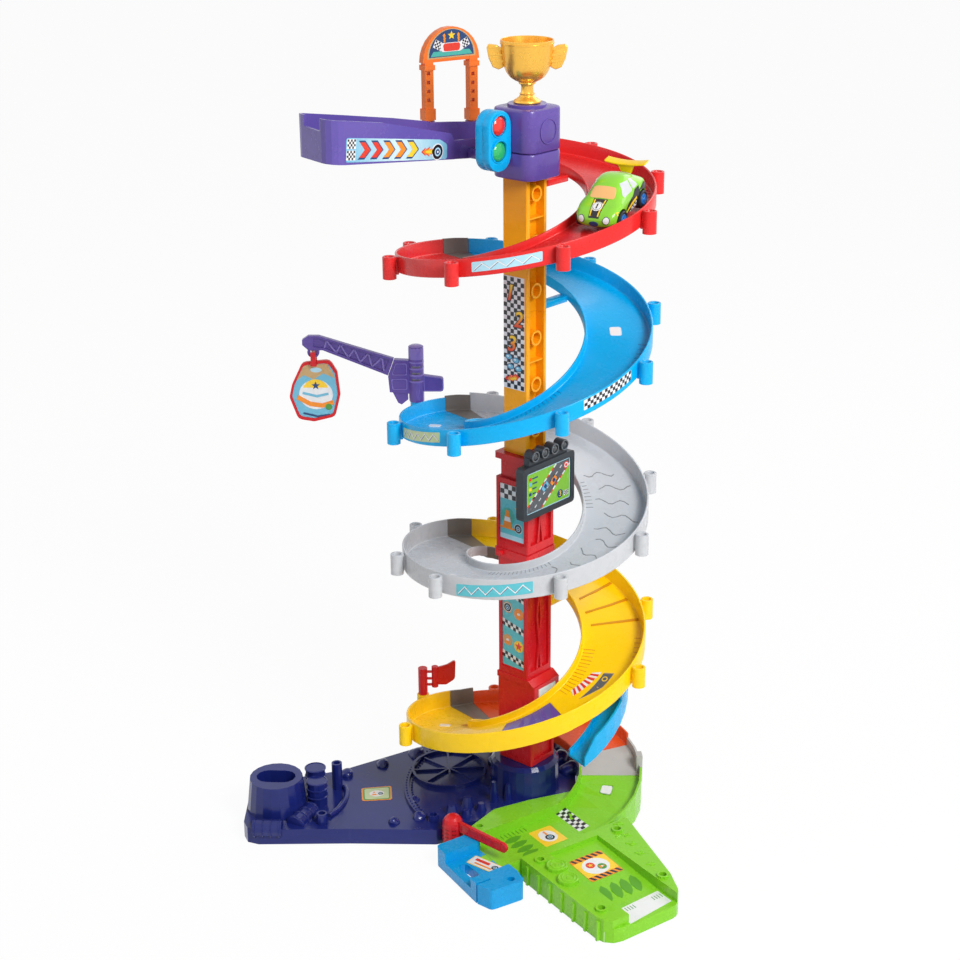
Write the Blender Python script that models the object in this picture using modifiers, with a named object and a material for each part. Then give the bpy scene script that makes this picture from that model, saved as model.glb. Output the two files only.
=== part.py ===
"""Toy car tower: four turns of track round a square column, on a base with an exit ramp.

Metres, +Z up. The origin is on the column's axis at floor level, and the column's
sticker face looks along -Y. Angles round the tower run clockwise seen from above,
from +Y, the way that a car rolls down.
"""
import math

import bmesh
import bpy
from mathutils import Matrix, Vector

CLEAR = 0.0003
RUNNING = 0.0005

# Track: a channel that winds down round the column
TRACK_IN = 0.064
TRACK_OUT = 0.137
TRACK_MID = (TRACK_IN + TRACK_OUT) / 2
WALL = 0.0024
FLOOR = 0.0026
INNER_WALL = 0.009
LOW_WALL = 0.016
HIGH_WALL = 0.021
PATH_STEP = 12
END_GAP = 0.25

# Hollow posts outside the track's outer wall
POST_RING = 0.1455
POST_RADIUS = 0.0073
POST_BORE = 0.0046
POST_HEIGHT = 0.0235
POST_DROP = 0.001
POST_STEP = 45
POST_FIRST = 305
POST_GAPS = (1205, 1250)
WEB = 0.005

# Joints between the levels, as angles, and the floor height at each
JOINT_ANGLE = 285
JOINT_HALF = 7
LIP = 4
LIP_GAP = 0.0010
LIP_THICK = 0.0016
TRAY_END = -52
RAMP_END = 1465
EXIT_START = 1490
STRAIGHT_START = 1545
TRAY_FLOOR = 0.745
JOINT_FLOORS = (0.631, 0.446, 0.290, 0.065)
RAMP_FLOOR = 0.038
EXIT_FLOOR_TOP = 0.033
EXIT_FLOOR = 0.012
STRAIGHT_OUT = TRACK_OUT + 0.0002

# Column, from the bottom up
HUB_RADIUS = 0.0395
HUB_TOP = 0.060
FOOT_TOP = 0.096
BLOCK_TOP = 0.164
LEDGE_TOP = 0.170
LOWER_TOP = 0.324
MIDDLE_TOP = 0.437
UPPER_SPLIT = 0.594
UPPER_TOP = 0.741
FOOT_SIDE = 0.042
BLOCK_REACH = 0.033
LOWER_SIDE = 0.043
MIDDLE_SIDE = 0.046
UPPER_SIDE = 0.033
RING_PITCH = 0.052
RING_TOP = 0.724
LAMP_STEP = 0.0165
LAMP_RADIUS = 0.0064
LAMP_HEIGHT = 0.4445

# Head with its lights and the cup
HEAD_SIDE = 0.056
HEAD_SHIFT = 0.003
HEAD_SEAM = 0.769
HEAD_TOP = 0.8135
HEAD_CORNER = 0.0135
HEAD_EDGE = 0.0012
POD_BACK = -0.013
POD_FRONT = 0.006
POD_Y = -0.0458
POD_WIDE = 0.035
POD_LOW = 0.7525
POD_HIGH = 0.8145
LENS_RADIUS = 0.0102
LENS_Z = (0.7995, 0.7735)
LENS_TRAVEL = 0.002
CUP_RIM = 0.0275
CUP_HEIGHT = 0.0662

# Base
BASE_TURN = math.radians(-15)
BASE_RIM = 0.019
BASE_WALL = 0.0025
ARC_RADIUS = 0.140
RAMP_HIGH = 0.027
RAMP_LENGTH = 0.1575
CENTRE_FOOT = 0.014

# Launch tray and start gate
TRAY_SLOPE = 0.118
BEND_WALL = 0.0265
TRAY_END_Y = (-0.193, -0.217)
GATE_ANGLES = (-86.0, -63.5)

# Pieces that stand in the track's posts or turn on pins
BARRIER_SPOT = (0.041, -0.1275)
BARRIER_PIN = 0.0045
CRANE_ANGLE = 623
CRANE_HEADING = 220
JIB_HALF = 0.003
HOOK_X = 0.1145
HOOK_RISE = 0.0575
FLAG_ANGLE = 1343
POST_MOVES = {620: CRANE_ANGLE, 890: 901, 1295: 1288, 1340: FLAG_ANGLE}

# Chute, flap and the white plates in the track floor
CHUTE_START = 35
CHUTE_END = 106
CHUTE_FLOORS = (0.163, 0.100)
CHUTE_IN = 0.088
CHUTE_OUT = 0.119
HANGER_GAP = 0.0009
FLAP_START = 1080 + 118
FLAP_END = 1080 + 156
FLAP_IN = TRACK_IN + 0.010
FLAP_OUT = TRACK_OUT - 0.009
FLAP_GAP = 0.0012
FLAP_TURN_GAP = 0.4
PLATE_HALF = 0.0065
PLATE_TURN = 4.6
PLATE_DEPTH = 0.0010
PLATE_LIFT = 0.0006

# Toy car
CAR_ANGLE = 77
CAR_TAIL = 0.0435
WHEEL_RADIUS = 0.0095
AXLES = (0.0245, -0.0255)
AXLE_RADIUS = 0.0016
TYRE_IN = 0.0165
TYRE_OUT = 0.0245

CLOCK = math.radians(1)
UPRIGHT = Matrix(((1, 0, 0, 0), (0, 0, -1, 0), (0, 1, 0, 0), (0, 0, 0, 1)))
PARTS = None
CUTTERS = None

COLOURS = {
    "navy": (0.035, 0.045, 0.30), "green": (0.16, 0.55, 0.03), "cyan": (0.0, 0.36, 0.80),
    "red": (0.62, 0.015, 0.02), "orange_red": (0.72, 0.10, 0.015), "amber": (0.90, 0.33, 0.01),
    "yellow": (0.90, 0.48, 0.01), "grey": (0.48, 0.49, 0.50), "taupe": (0.26, 0.24, 0.22),
    "purple": (0.10, 0.06, 0.32), "gold": (0.80, 0.48, 0.08), "charcoal": (0.05, 0.055, 0.06),
    "white": (0.85, 0.85, 0.85), "lamp_red": (0.85, 0.06, 0.03), "lamp_green": (0.03, 0.50, 0.10),
    "rubber": (0.02, 0.02, 0.02), "glass": (0.06, 0.07, 0.08), "sign_blue": (0.25, 0.55, 0.75),
}


def empty_scene():
    for item in list(bpy.data.objects):
        bpy.data.objects.remove(item)


def collection(name):
    made = bpy.data.collections.new(name)
    bpy.context.scene.collection.children.link(made)
    return made


def material(node, colour):
    made = bpy.data.materials.new(node + "_plastic")
    made.use_nodes = True
    shader = made.node_tree.nodes["Principled BSDF"]
    shader.inputs["Base Color"].default_value = (*COLOURS[colour], 1)
    shader.inputs["Roughness"].default_value = 0.3
    shader.inputs["Metallic"].default_value = 0.8 if colour == "gold" else 0.0
    return made


def place(name, mesh, group):
    made = bpy.data.objects.new(name, mesh)
    group.objects.link(made)
    return made


def part(tool, name, colour):
    """Turns a helper solid into a finished piece of the tower."""
    CUTTERS.objects.unlink(tool)
    PARTS.objects.link(tool)
    tool.name = name
    tool.data.materials.clear()
    tool.data.materials.append(material(name, colour))
    tool.hide_render = False
    tool.display_type = "TEXTURED"
    return tool


def tool_from(mesh, name):
    made = place(name, mesh, CUTTERS)
    made.hide_render = True
    made.display_type = "WIRE"
    return made


def from_bmesh(bm, name):
    bmesh.ops.recalc_face_normals(bm, faces=bm.faces)
    mesh = bpy.data.meshes.new(name)
    bm.to_mesh(mesh)
    bm.free()
    return tool_from(mesh, name)


def box(name, low, high, frame=Matrix()):
    low, high = Vector(low), Vector(high)
    bm = bmesh.new()
    sizes = Matrix.Diagonal((*(high - low), 1))
    bmesh.ops.create_cube(bm, size=1, matrix=frame @ Matrix.Translation((low + high) / 2) @ sizes)
    return from_bmesh(bm, name)


def add_drum(bm, radius, low, high, spot=(0, 0), sides=16, top=None, frame=Matrix()):
    """A round bar or cone along its frame's Z."""
    centre = Matrix.Translation((spot[0], spot[1], (low + high) / 2))
    bmesh.ops.create_cone(bm, cap_ends=True, segments=sides, radius1=radius,
                          radius2=radius if top is None else top, depth=high - low,
                          matrix=frame @ centre)


def drum(name, radius, low, high, spot=(0, 0), sides=16, top=None, frame=Matrix()):
    bm = bmesh.new()
    add_drum(bm, radius, low, high, spot, sides, top, frame)
    return from_bmesh(bm, name)


def plate(name, outlines, low, high, frame=Matrix()):
    """A flat outline, with any holes, filled and given its thickness along its frame's Z."""
    curve = bpy.data.curves.new(name, "CURVE")
    curve.dimensions = "2D"
    curve.fill_mode = "BOTH"
    curve.extrude = (high - low) / 2
    for outline in outlines:
        spline = curve.splines.new("POLY")
        spline.points.add(len(outline) - 1)
        for point, (x, y) in zip(spline.points, outline):
            point.co = (x, y, 0, 1)
        spline.use_cyclic_u = True
    guide = place(name, curve, CUTTERS)
    guide.matrix_world = frame @ Matrix.Translation((0, 0, (low + high) / 2))
    return baked(guide, name)


def baked(guide, name):
    """The guide curve's surface as a closed mesh in world space."""
    bpy.context.view_layer.update()
    graph = bpy.context.evaluated_depsgraph_get()
    mesh = bpy.data.meshes.new_from_object(guide.evaluated_get(graph))
    mesh.transform(guide.matrix_world)
    bpy.data.objects.remove(guide)
    bm = bmesh.new()
    bm.from_mesh(mesh)
    bmesh.ops.remove_doubles(bm, verts=bm.verts, dist=0.00001)
    return from_bmesh(bm, name)


def boolean(target, other, operation):
    step = target.modifiers.new(operation.lower(), "BOOLEAN")
    step.operation = operation
    step.object = other
    return target


def join(target, *others):
    for other in others:
        boolean(target, other, "UNION")
    return target


def cut(target, *others):
    for other in others:
        boolean(target, other, "DIFFERENCE")
    return target


def soften(target, width, segments=2, angle=40):
    step = target.modifiers.new("rounding", "BEVEL")
    step.width = width
    step.segments = segments
    step.limit_method = "ANGLE"
    step.angle_limit = math.radians(angle)
    step.use_clamp_overlap = True
    return target


def arc(centre, radius, start, end, steps):
    """Points on a circle, by ordinary angles in degrees."""
    turn = [math.radians(start + (end - start) * i / steps) for i in range(steps + 1)]
    return [(centre[0] + radius * math.cos(a), centre[1] + radius * math.sin(a)) for a in turn]


def rounded(corners, radius, steps=3):
    """A polygon with its corners rounded. The radius is one value or one for each corner."""
    radii = radius if isinstance(radius, (list, tuple)) else [radius] * len(corners)
    points = []
    for i, corner in enumerate(corners):
        here = Vector(corner)
        if radii[i] == 0:
            points.append(tuple(here))
            continue
        back = (Vector(corners[i - 1]) - here).normalized()
        ahead = (Vector(corners[(i + 1) % len(corners)]) - here).normalized()
        half = back.angle(ahead) / 2
        reach = radii[i] / math.tan(half)
        middle = here + (back + ahead).normalized() * radii[i] / math.sin(half)
        first = here + back * reach - middle
        last = here + ahead * reach - middle
        swing = math.atan2(first.x * last.y - first.y * last.x, first.dot(last))
        for k in range(steps + 1):
            turn = Matrix.Rotation(swing * k / steps, 2)
            points.append(tuple(middle + turn @ first))
    return points


def block(name, x, y, z, radius, steps=3, frame=Matrix()):
    """A box with its upright edges rounded."""
    corners = [(x[0], y[0]), (x[1], y[0]), (x[1], y[1]), (x[0], y[1])]
    return plate(name, [rounded(corners, radius, steps)], z[0], z[1], frame)


def across_x(shift=0.0):
    """A frame whose drawing plane is Y and Z and whose thickness runs along X."""
    turn = Matrix(((0, 0, 1, 0), (1, 0, 0, 0), (0, 1, 0, 0), (0, 0, 0, 1)))
    return Matrix.Translation((shift, 0, 0)) @ turn


def polar(angle, radius, height=0.0):
    turn = angle * CLOCK
    return Vector((radius * math.sin(turn), radius * math.cos(turn), height))


def radial(angle, height=0.0):
    """A frame on the tower's axis with X pointing outwards at this angle and Z up."""
    return Matrix.Translation((0, 0, height)) @ Matrix.Rotation(math.pi / 2 - angle * CLOCK, 4, "Z")


def eased(share, bump, lag):
    return share + bump * math.sin(math.pi * share) ** 2 - lag * math.sin(2 * math.pi * share)


def track_floor(angle):
    """Height of the running surface, from the launch tray down to the exit."""
    stages = (
        (TRAY_END, JOINT_ANGLE, TRAY_FLOOR, JOINT_FLOORS[0], -0.012, 0.055),
        (JOINT_ANGLE, JOINT_ANGLE + 360, JOINT_FLOORS[0], JOINT_FLOORS[1], 0.057, 0.065),
        (JOINT_ANGLE + 360, JOINT_ANGLE + 720, JOINT_FLOORS[1], JOINT_FLOORS[2], 0.21, 0.0),
        (JOINT_ANGLE + 720, JOINT_ANGLE + 1080, JOINT_FLOORS[2], JOINT_FLOORS[3], 0.028, 0.018),
        (JOINT_ANGLE + 1080, RAMP_END + 6, JOINT_FLOORS[3], RAMP_FLOOR, 0.06, 0.0),
        (RAMP_END + 6, EXIT_START - 6, RAMP_FLOOR, EXIT_FLOOR_TOP, 0.0, 0.0),
        (EXIT_START - 6, STRAIGHT_START, EXIT_FLOOR_TOP, EXIT_FLOOR, 0.0, 0.0),
    )
    for start, end, high, low, bump, lag in stages:
        if angle <= end:
            return high + (low - high) * eased(max(0, (angle - start) / (end - start)), bump, lag)
    return EXIT_FLOOR


def sweep(name, outline, start, end, floor=track_floor, step=PATH_STEP):
    """An upright outline of (radius, height above the floor) carried down the track."""
    bm = bmesh.new()
    frame = radial(start)
    corners = [bm.verts.new(frame @ Vector((radius, 0, height))) for radius, height in outline]
    section = bm.faces.new(corners)
    geometry = [section, *section.edges, *section.verts]
    count = max(2, round((end - start) / step))
    bmesh.ops.spin(bm, geom=geometry, axis=(0, 0, -1), angle=(end - start) * CLOCK, steps=count)
    for corner in bm.verts:
        turned = (math.degrees(math.atan2(corner.co.x, corner.co.y)) - start + 1) % 360 - 1
        corner.co.z += floor(start + turned)
    return from_bmesh(bm, name)


def channel(outer_wall, inner_wall=INNER_WALL, skirt=FLOOR, inside=TRACK_IN, outside=TRACK_OUT):
    return [
        (inside, inner_wall), (inside + WALL, inner_wall), (inside + WALL, 0), (TRACK_MID, 0),
        (outside - WALL, 0), (outside - WALL, outer_wall), (outside, outer_wall), (outside, -skirt),
        (TRACK_MID, -skirt), (inside, -skirt),
    ]


def post_top(angle, wall):
    return track_floor(angle) + wall - POST_DROP


def posts(name, track, angles, wall):
    """Hollow round posts outside the outer wall, each tied to it by a web."""
    webs, bars, bores = bmesh.new(), bmesh.new(), bmesh.new()
    for angle in angles:
        frame = radial(angle, post_top(angle, wall))
        size = Matrix.Diagonal((POST_RING - TRACK_OUT, WEB, POST_HEIGHT - 0.006, 1))
        middle = Matrix.Translation(((POST_RING + TRACK_OUT) / 2 - 0.001, 0, -POST_HEIGHT / 2 + 0.001))
        bmesh.ops.create_cube(webs, size=1, matrix=frame @ middle @ size)
        spot = (POST_RING, 0)
        add_drum(bars, POST_RADIUS, -POST_HEIGHT, 0, spot, 10, None, frame)
        add_drum(bores, POST_BORE, -POST_HEIGHT - 0.002, 0.002, spot, 8, None, frame)
    join(track, from_bmesh(webs, name + "_webs"), from_bmesh(bars, name + "_posts"))
    return cut(track, from_bmesh(bores, name + "_bores"))


def arm(name, track, angle, column_face):
    """The bar from the inner wall to the column, with a hooked plate against the column."""
    low = track_floor(angle) - 0.008
    bar = box(name + "_bar", (-0.006, column_face + 0.002, low), (0.006, TRACK_IN + 0.0012, low + 0.007))
    face = column_face + CLEAR
    hook = box(name + "_hook", (-0.009, face, low - 0.006), (0.009, face + 0.0032, low + 0.011))
    return join(track, bar, hook)


def level(name, colour, turn, wall, start, column_face):
    first = JOINT_ANGLE + 360 * (turn - 1) + JOINT_HALF if start is None else start
    last = JOINT_ANGLE + 360 * turn - JOINT_HALF - END_GAP
    track = sweep(name, channel(wall), first + END_GAP, last)
    marks = [POST_FIRST + 360 * (turn - 1) + POST_STEP * i for i in range(8)]
    marks = [a for a in marks if first + 8 < a < last and a not in POST_GAPS]
    posts(name, track, [POST_MOVES.get(a, a) for a in marks], wall)
    arm(name, track, 360 * turn, column_face)
    return part(track, name, colour)


def hinge(item, spot):
    """Puts the piece's origin on its joint's axis and leaves the piece where it is."""
    spot = Vector(spot)
    item.data.transform(Matrix.Translation(item.location - spot))
    item.location = spot
    return item


def connector(name, turn, wall):
    """Clip between two levels: its own stretch of channel, and lips under both floors."""
    middle = JOINT_ANGLE + 360 * turn
    lip_top, lip_low = -FLOOR - LIP_GAP, -FLOOR - LIP_GAP - LIP_THICK
    section = channel(wall, INNER_WALL, -lip_low)
    body = sweep(name, section, middle - JOINT_HALF, middle + JOINT_HALF, step=7)
    inner, outer = TRACK_IN + 0.006, TRACK_OUT - 0.006
    lip = [(inner, lip_top), (outer, lip_top), (outer, lip_low + 0.0004), (inner, lip_low + 0.0004)]
    reach = JOINT_HALF + LIP
    lips = [sweep(name + "_before", lip, middle - reach, middle - JOINT_HALF + 1, step=5),
            sweep(name + "_after", lip, middle + JOINT_HALF - 1, middle + reach, step=5)]
    return part(join(body, *lips), name, "taupe")


def base_frame():
    return Matrix.Rotation(BASE_TURN, 4, "Z")


def navy_base():
    """The dark base: a round plate under the tower and a long arm that ends in the holder."""
    corners = [(-0.1785, -0.2825, 0.018), (-0.2445, -0.2075, 0.030), (-0.188, -0.116, 0.040),
               (-0.153, -0.006, 0.060), (-0.118, 0.082, 0.040), (-0.040, 0.112, 0.040),
               (0.018, 0.100, 0.012), (0.0335, 0.053, 0.008), (0.0500, 0.0330, 0.006),
               (0.0525, 0.0160, 0.008), (0.0275, -0.0325, 0.010), (0.0105, -0.0715, 0.008),
               (0.0112, -0.0975, 0.002), (0.0072, -0.1025, 0.002), (-0.0110, -0.1420, 0.004),
               (-0.087, -0.203, 0.120)]
    outline = rounded([(x, y) for x, y, radius in corners], [radius for x, y, radius in corners], 2)
    base = plate("navy_base", [outline], 0, BASE_RIM)
    inner = Vector((-0.08, -0.09))
    hollow = [tuple(inner + (Vector(p) - inner) * 0.965) for p in outline]
    mound = Vector((-0.186, -0.221))
    turn = Matrix.Translation((*mound, 0)) @ Matrix.Rotation(math.radians(37), 4, "Z")
    join(base, drum("hub", HUB_RADIUS + 0.001, BASE_RIM - 0.004, HUB_TOP - 0.0045, sides=28, top=HUB_RADIUS))
    join(base, drum("hub_shoulder", HUB_RADIUS, HUB_TOP - 0.0047, HUB_TOP, sides=28, top=HUB_RADIUS - 0.004))
    join(base, drum("mound", 0.035, BASE_RIM - 0.004, 0.058, tuple(mound), 20, 0.030))
    stadium = arc((0.009, 0), 0.0135, -90, 90, 6) + arc((-0.009, 0), 0.0135, 90, 270, 6)
    cut(base, plate("mound_hole", [stadium], 0.024, 0.062, turn))
    bars = bmesh.new()
    for x, y, radius, top in ((-0.174, -0.171, 0.0115, 0.052), (-0.156, -0.186, 0.0115, 0.048),
                              (-0.163, -0.147, 0.0062, 0.052), (-0.120, -0.214, 0.0062, 0.032),
                              (-0.027, -0.129, 0.0060, 0.027)):
        add_drum(bars, radius, BASE_RIM - 0.004, top, (x, y), 12)
    for x, y, radius, top in ((-0.003, -0.052, 0.006, 0.044), (0.0085, -0.0405, 0.0055, 0.040),
                              (-0.022, -0.104, 0.010, 0.030), (-0.018, -0.081, 0.009, 0.032),
                              (0.000, -0.078, 0.008, 0.029), (-0.004, -0.099, 0.008, 0.028)):
        add_drum(bars, radius, BASE_RIM - 0.004, top, (x, y), 8, radius * 0.45)
    lying = ((-0.161, -0.260, 0.010, 0.033, 38), (-0.146, -0.219, 0.011, 0.038, 105))
    for x, y, radius, length, turned in lying:
        lie = Matrix.Translation((x, y, BASE_RIM - 0.0013)) @ Matrix.Rotation(math.radians(turned), 4, "Z")
        side = lie @ Matrix.Rotation(math.pi / 2, 4, "Y")
        add_drum(bars, radius, -length / 2, length / 2, (0, 0), 12, None, side)
    join(base, from_bmesh(bars, "barrels"))
    relief = bmesh.new()
    wheel = Matrix.Translation((-0.090, -0.033, 0))
    for i in range(4):
        size = Matrix.Diagonal((0.086, 0.0022, 0.006, 1))
        spoke = Matrix.Translation((0, 0, BASE_RIM)) @ Matrix.Rotation(math.pi * i / 4, 4, "Z") @ size
        cube = bmesh.ops.create_cube(relief, size=1, matrix=wheel @ spoke)
        bmesh.ops.translate(relief, verts=cube["verts"], vec=(0, 0, 0.00011 * i))
    spokes = from_bmesh(relief, "wheel_spokes")
    step = base.modifiers.new("spokes", "BOOLEAN")
    step.operation = "UNION"
    step.object = spokes
    step.use_self = True
    rim = arc((0, 0), 0.045, 6, 351, 23)
    inside = [(x * 0.93, y * 0.93) for x, y in rim]
    join(base, plate("wheel_ring", [rim, inside], BASE_RIM - 0.003, 0.0235, wheel))
    bend = arc((0, 0), ARC_RADIUS + 0.002, 182, 253, 12)
    bend += list(reversed(arc((0, 0), ARC_RADIUS - 0.004, 182, 253, 12)))
    join(base, plate("arc_rim", [bend], BASE_RIM - 0.003, 0.0225))
    bores = bmesh.new()
    for x, y in ((-0.163, -0.147), (-0.120, -0.214), (-0.027, -0.129)):
        add_drum(bores, POST_BORE - 0.0006, 0.0165, 0.060, (x, y), 10)
    cut(base, from_bmesh(bores, "base_bores"))
    cut(base, plate("base_hollow", [hollow], -0.002, BASE_RIM - BASE_WALL - 0.004))
    join(base, drum("centre_foot", CENTRE_FOOT, 0, BASE_RIM - BASE_WALL - 0.003, sides=16))
    return part(base, "navy_base", "navy")


def exit_track():
    """Green track: from the last clip round to the straight, with a bank on its left."""
    frame = base_frame()
    skirt = 0.040
    curve = sweep("exit_track", channel(0.011, 0.012, skirt), EXIT_START + END_GAP, STRAIGHT_START + 0.3)
    cut(curve, box("ground", (-0.3, -0.3, -0.1), (0.3, 0.3, 0)))
    inner, outer = TRACK_IN - 0.0002, STRAIGHT_OUT
    lane = EXIT_FLOOR - 0.0002
    section = [(inner, 0.0002), (outer, 0.0002), (outer, 0.0232), (outer - WALL, 0.0232),
               (outer - WALL, lane), (inner + WALL, lane), (inner + WALL, 0.0242), (inner, 0.0242)]
    join(curve, plate("straight", [section], -0.0006, 0.117, frame @ UPRIGHT))
    bank = [(inner + 0.0012, -0.1163), (0.050, -0.112), (0.0325, -0.066), (0.0385, -0.022), (0.0515, 0.0335),
            (inner + 0.0012, 0.020)]
    join(curve, plate("bank", [rounded(bank, [0, 0.012, 0.012, 0.010, 0, 0], 2)], 0.0005, 0.0236, frame))
    spot = (0.0535, -0.1000)
    join(curve, drum("bank_post", 0.0065, 0.004, 0.0242, spot, 14, None, frame))
    cut(curve, drum("bank_bore", 0.0040, 0.009, 0.040, spot, 12, None, frame))
    pocket = [(TRACK_IN + 0.006, -0.112), (TRACK_OUT - 0.005, -0.112), (TRACK_OUT - 0.005, -0.016),
              (TRACK_IN + 0.006, -0.012)]
    cut(curve, plate("straight_hollow", [pocket], -0.002, EXIT_FLOOR - BASE_WALL, frame))
    lug = [(0.030, -0.140), (0.053, -0.140), (0.060, -0.119), (0.060, -0.104), (0.036, -0.098)]
    join(curve, plate("barrier_lug", [rounded(lug, [0.008, 0.008, 0, 0, 0], 2)], 0.0008, 0.006, frame))
    join(curve, drum("barrier_pin", BARRIER_PIN, 0.004, 0.026, BARRIER_SPOT, 14, None, frame))
    tab = arc((0.098, -0.1195), 0.0075, 160, 380, 9)
    join(curve, plate("jigsaw_tab", [tab], 0.004, EXIT_FLOOR - 0.0005, frame))
    return part(curve, "exit_track", "green")


def green_ramp():
    """The wide launch plate beside the straight: a sloping bed in a raised rim."""
    frame = base_frame()
    gap = STRAIGHT_OUT + CLEAR
    front = -0.1025
    far, bend = gap + RAMP_LENGTH, gap + 0.118
    edge = [(gap, front), (far, front), (far - 0.003, -0.004), (bend, 0.012), (gap, 0.044)]
    body = plate("green_ramp", [rounded(edge, [0.003, 0.020, 0.016, 0.012, 0.003], 3)], 0, RAMP_HIGH, frame)
    bed_start = gap + 0.0115
    past = far + 0.010
    slope = [(bed_start, 0.022), (bend, 0.015), (past, 0.015), (past, 0.040), (bed_start, 0.040)]
    bed = plate("ramp_bed", [slope], 0.006, 0.072, frame @ UPRIGHT)
    cut(body, bed)
    cut(body, box("end_step", (far - 0.004, -0.13, 0.017), (far + 0.020, 0.05, 0.05), frame))
    under = [(gap + 0.003, front + 0.003), (far - 0.010, front + 0.003), (far - 0.013, -0.008),
             (bend - 0.002, 0.008), (gap + 0.003, 0.039)]
    hollow = plate("ramp_hollow", [under], -0.002, 0.0125, frame)
    spots = ((gap + 0.0180, -0.088), (gap + 0.1175, 0.0020), (gap + 0.1300, -0.0900), (gap + 0.0160, 0.0185))
    bars, bores = bmesh.new(), bmesh.new()
    for x, y in spots:
        add_drum(bars, 0.0066, 0.010, RAMP_HIGH + 0.0025, (x, y), 10, None, frame)
        add_drum(bores, 0.0042, 0.016, RAMP_HIGH + 0.010, (x, y), 8, None, frame)
    gears = bmesh.new()
    for x, y in ((gap + 0.0390, -0.0815), (gap + 0.0665, -0.0865)):
        add_drum(gears, 0.0125, 0.016, RAMP_HIGH + 0.0035, (x, y), 12, 0.0118, frame)
    ribs = bmesh.new()
    for i in range(7):
        place_rib = Matrix.Translation((gap + 0.0145 + 0.021 * i, front, 0.0115))
        size = Matrix.Diagonal((0.003, 0.004, 0.023, 1))
        bmesh.ops.create_cube(ribs, size=1, matrix=frame @ place_rib @ size)
    cut(body, hollow)
    join(body, from_bmesh(bars, "ramp_posts"), from_bmesh(gears, "gears"), from_bmesh(ribs, "ramp_ribs"))
    cut(body, from_bmesh(bores, "ramp_bores"))
    return part(body, "green_ramp", "green")


def exit_adapter():
    """Cyan piece at the end of the straight, which takes the next track."""
    frame = base_frame()
    front, back = -0.166, -0.117 - CLEAR
    left = TRACK_IN - 0.004
    plan = [(left, front + 0.004), (0.150, front - 0.002), (0.170, front + 0.004), (0.1725, back - 0.004),
            (0.153, back), (left, back)]
    body = plate("exit_adapter", [rounded(plan, [0.005, 0.004, 0.005, 0.005, 0, 0], 2)], 0, 0.024, frame)
    cut(body, box("adapter_lane", (0.0805, front - 0.02, EXIT_FLOOR), (TRACK_OUT, back + 0.02, 0.05), frame))
    tab = arc((0.098, -0.1195), 0.0075 + CLEAR, 140, 400, 9)
    cut(body, plate("jigsaw_gap", [tab], -0.002, 0.05, frame))
    grip = arc((0.118, -0.150), 0.0055, -90, 90, 4) + arc((0.098, -0.150), 0.0055, 90, 270, 4)
    cut(body, plate("grip_slot", [grip], -0.002, 0.05, frame))
    cut(body, drum("adapter_bore", 0.0042, 0.006, 0.05, (0.1625, -0.1320), 12, None, frame))
    cut(body, box("lock_gap", (0.1490, front - 0.02, -0.01), (0.1510, front + 0.016, 0.05), frame))
    low, high = (left + 0.0045, front + 0.008, -0.002), (0.0785, back - 0.004, 0.021)
    cut(body, box("adapter_hollow", low, high, frame))
    return part(body, "exit_adapter", "cyan")


def barrier():
    """Red gate: a domed cap that turns on its pin, with an arm over the track."""
    frame = base_frame() @ Matrix.Translation((*BARRIER_SPOT, 0))
    low, shoulder, radius, bore = 0.006 + CLEAR, 0.031, 0.0115, BARRIER_PIN + RUNNING
    spot = frame.translation
    dome = [(y, shoulder + x) for x, y in arc((0, 0), radius, 0, 90, 5)]
    profile = dome + [(radius, low), (bore, low), (bore, 0.0266), (0, 0.0266)]
    body = turned("barrier_arm", profile, 20, spot)
    swing = frame @ Matrix.Rotation(-BASE_TURN, 4, "Z") @ Matrix.Rotation(math.radians(-1), 4, "Z")
    outline = arc((0.076, 0.0302), 0.0055, -90, 90, 5) + [(0.0075, 0.037), (0.0075, 0.0247)]
    join(body, plate("barrier_bar", [outline], -0.002, 0.002, swing @ UPRIGHT))
    return hinge(part(body, "barrier_arm", "red"), (spot.x, spot.y, shoulder))


def braces(name, face, low, high, width, bays, depth=0.003, bar=0.0028):
    """Crossed bars in the face of a column section, standing in its recess."""
    made = []
    bay = (high - low) / bays
    for i in range(bays):
        for sign in (-1, 1):
            middle = Matrix.Translation((face - depth / 2 - 0.0003, 0, low + bay * (i + 0.5)))
            slant = Matrix.Rotation(sign * math.atan2(width, bay), 4, "X")
            length = math.hypot(width, bay) + 0.002
            shift = 0.00015 * sign
            made.append(box(name + "_brace", (-depth / 2 + shift, -bar / 2, -length / 2),
                            (depth / 2 + shift, bar / 2, length / 2), middle @ slant))
    return made


def column_foot():
    half = FOOT_SIDE / 2
    low = HUB_TOP + CLEAR
    foot = block("column_foot", (-half, 0.027), (-half, half), (low, FOOT_TOP + 0.002), 0.001, 1)
    join(foot, block("foot_block", (-0.022, BLOCK_REACH), (-0.022, 0.022), (FOOT_TOP, BLOCK_TOP), 0.001, 1))
    ledge = [(-0.0225, BLOCK_TOP - 0.001), (BLOCK_REACH - 0.0005, BLOCK_TOP - 0.001), (0.0235, LEDGE_TOP),
             (-0.0225, LEDGE_TOP)]
    join(foot, plate("foot_ledge", [ledge], -0.0225, 0.0225, UPRIGHT))
    cut(foot, box("foot_window", (0.0235, -0.016, low + 0.006), (0.040, 0.016, FOOT_TOP - 0.005)))
    cut(foot, box("foot_hollow", (-0.030, -0.018, low + 0.004), (0.018, 0.018, LEDGE_TOP - 0.004)))
    cut(foot, box("plate_seat", (BLOCK_REACH - 0.001, -0.015, 0.122), (0.040, 0.015, 0.160)))
    return part(foot, "column_foot", "red")


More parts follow.
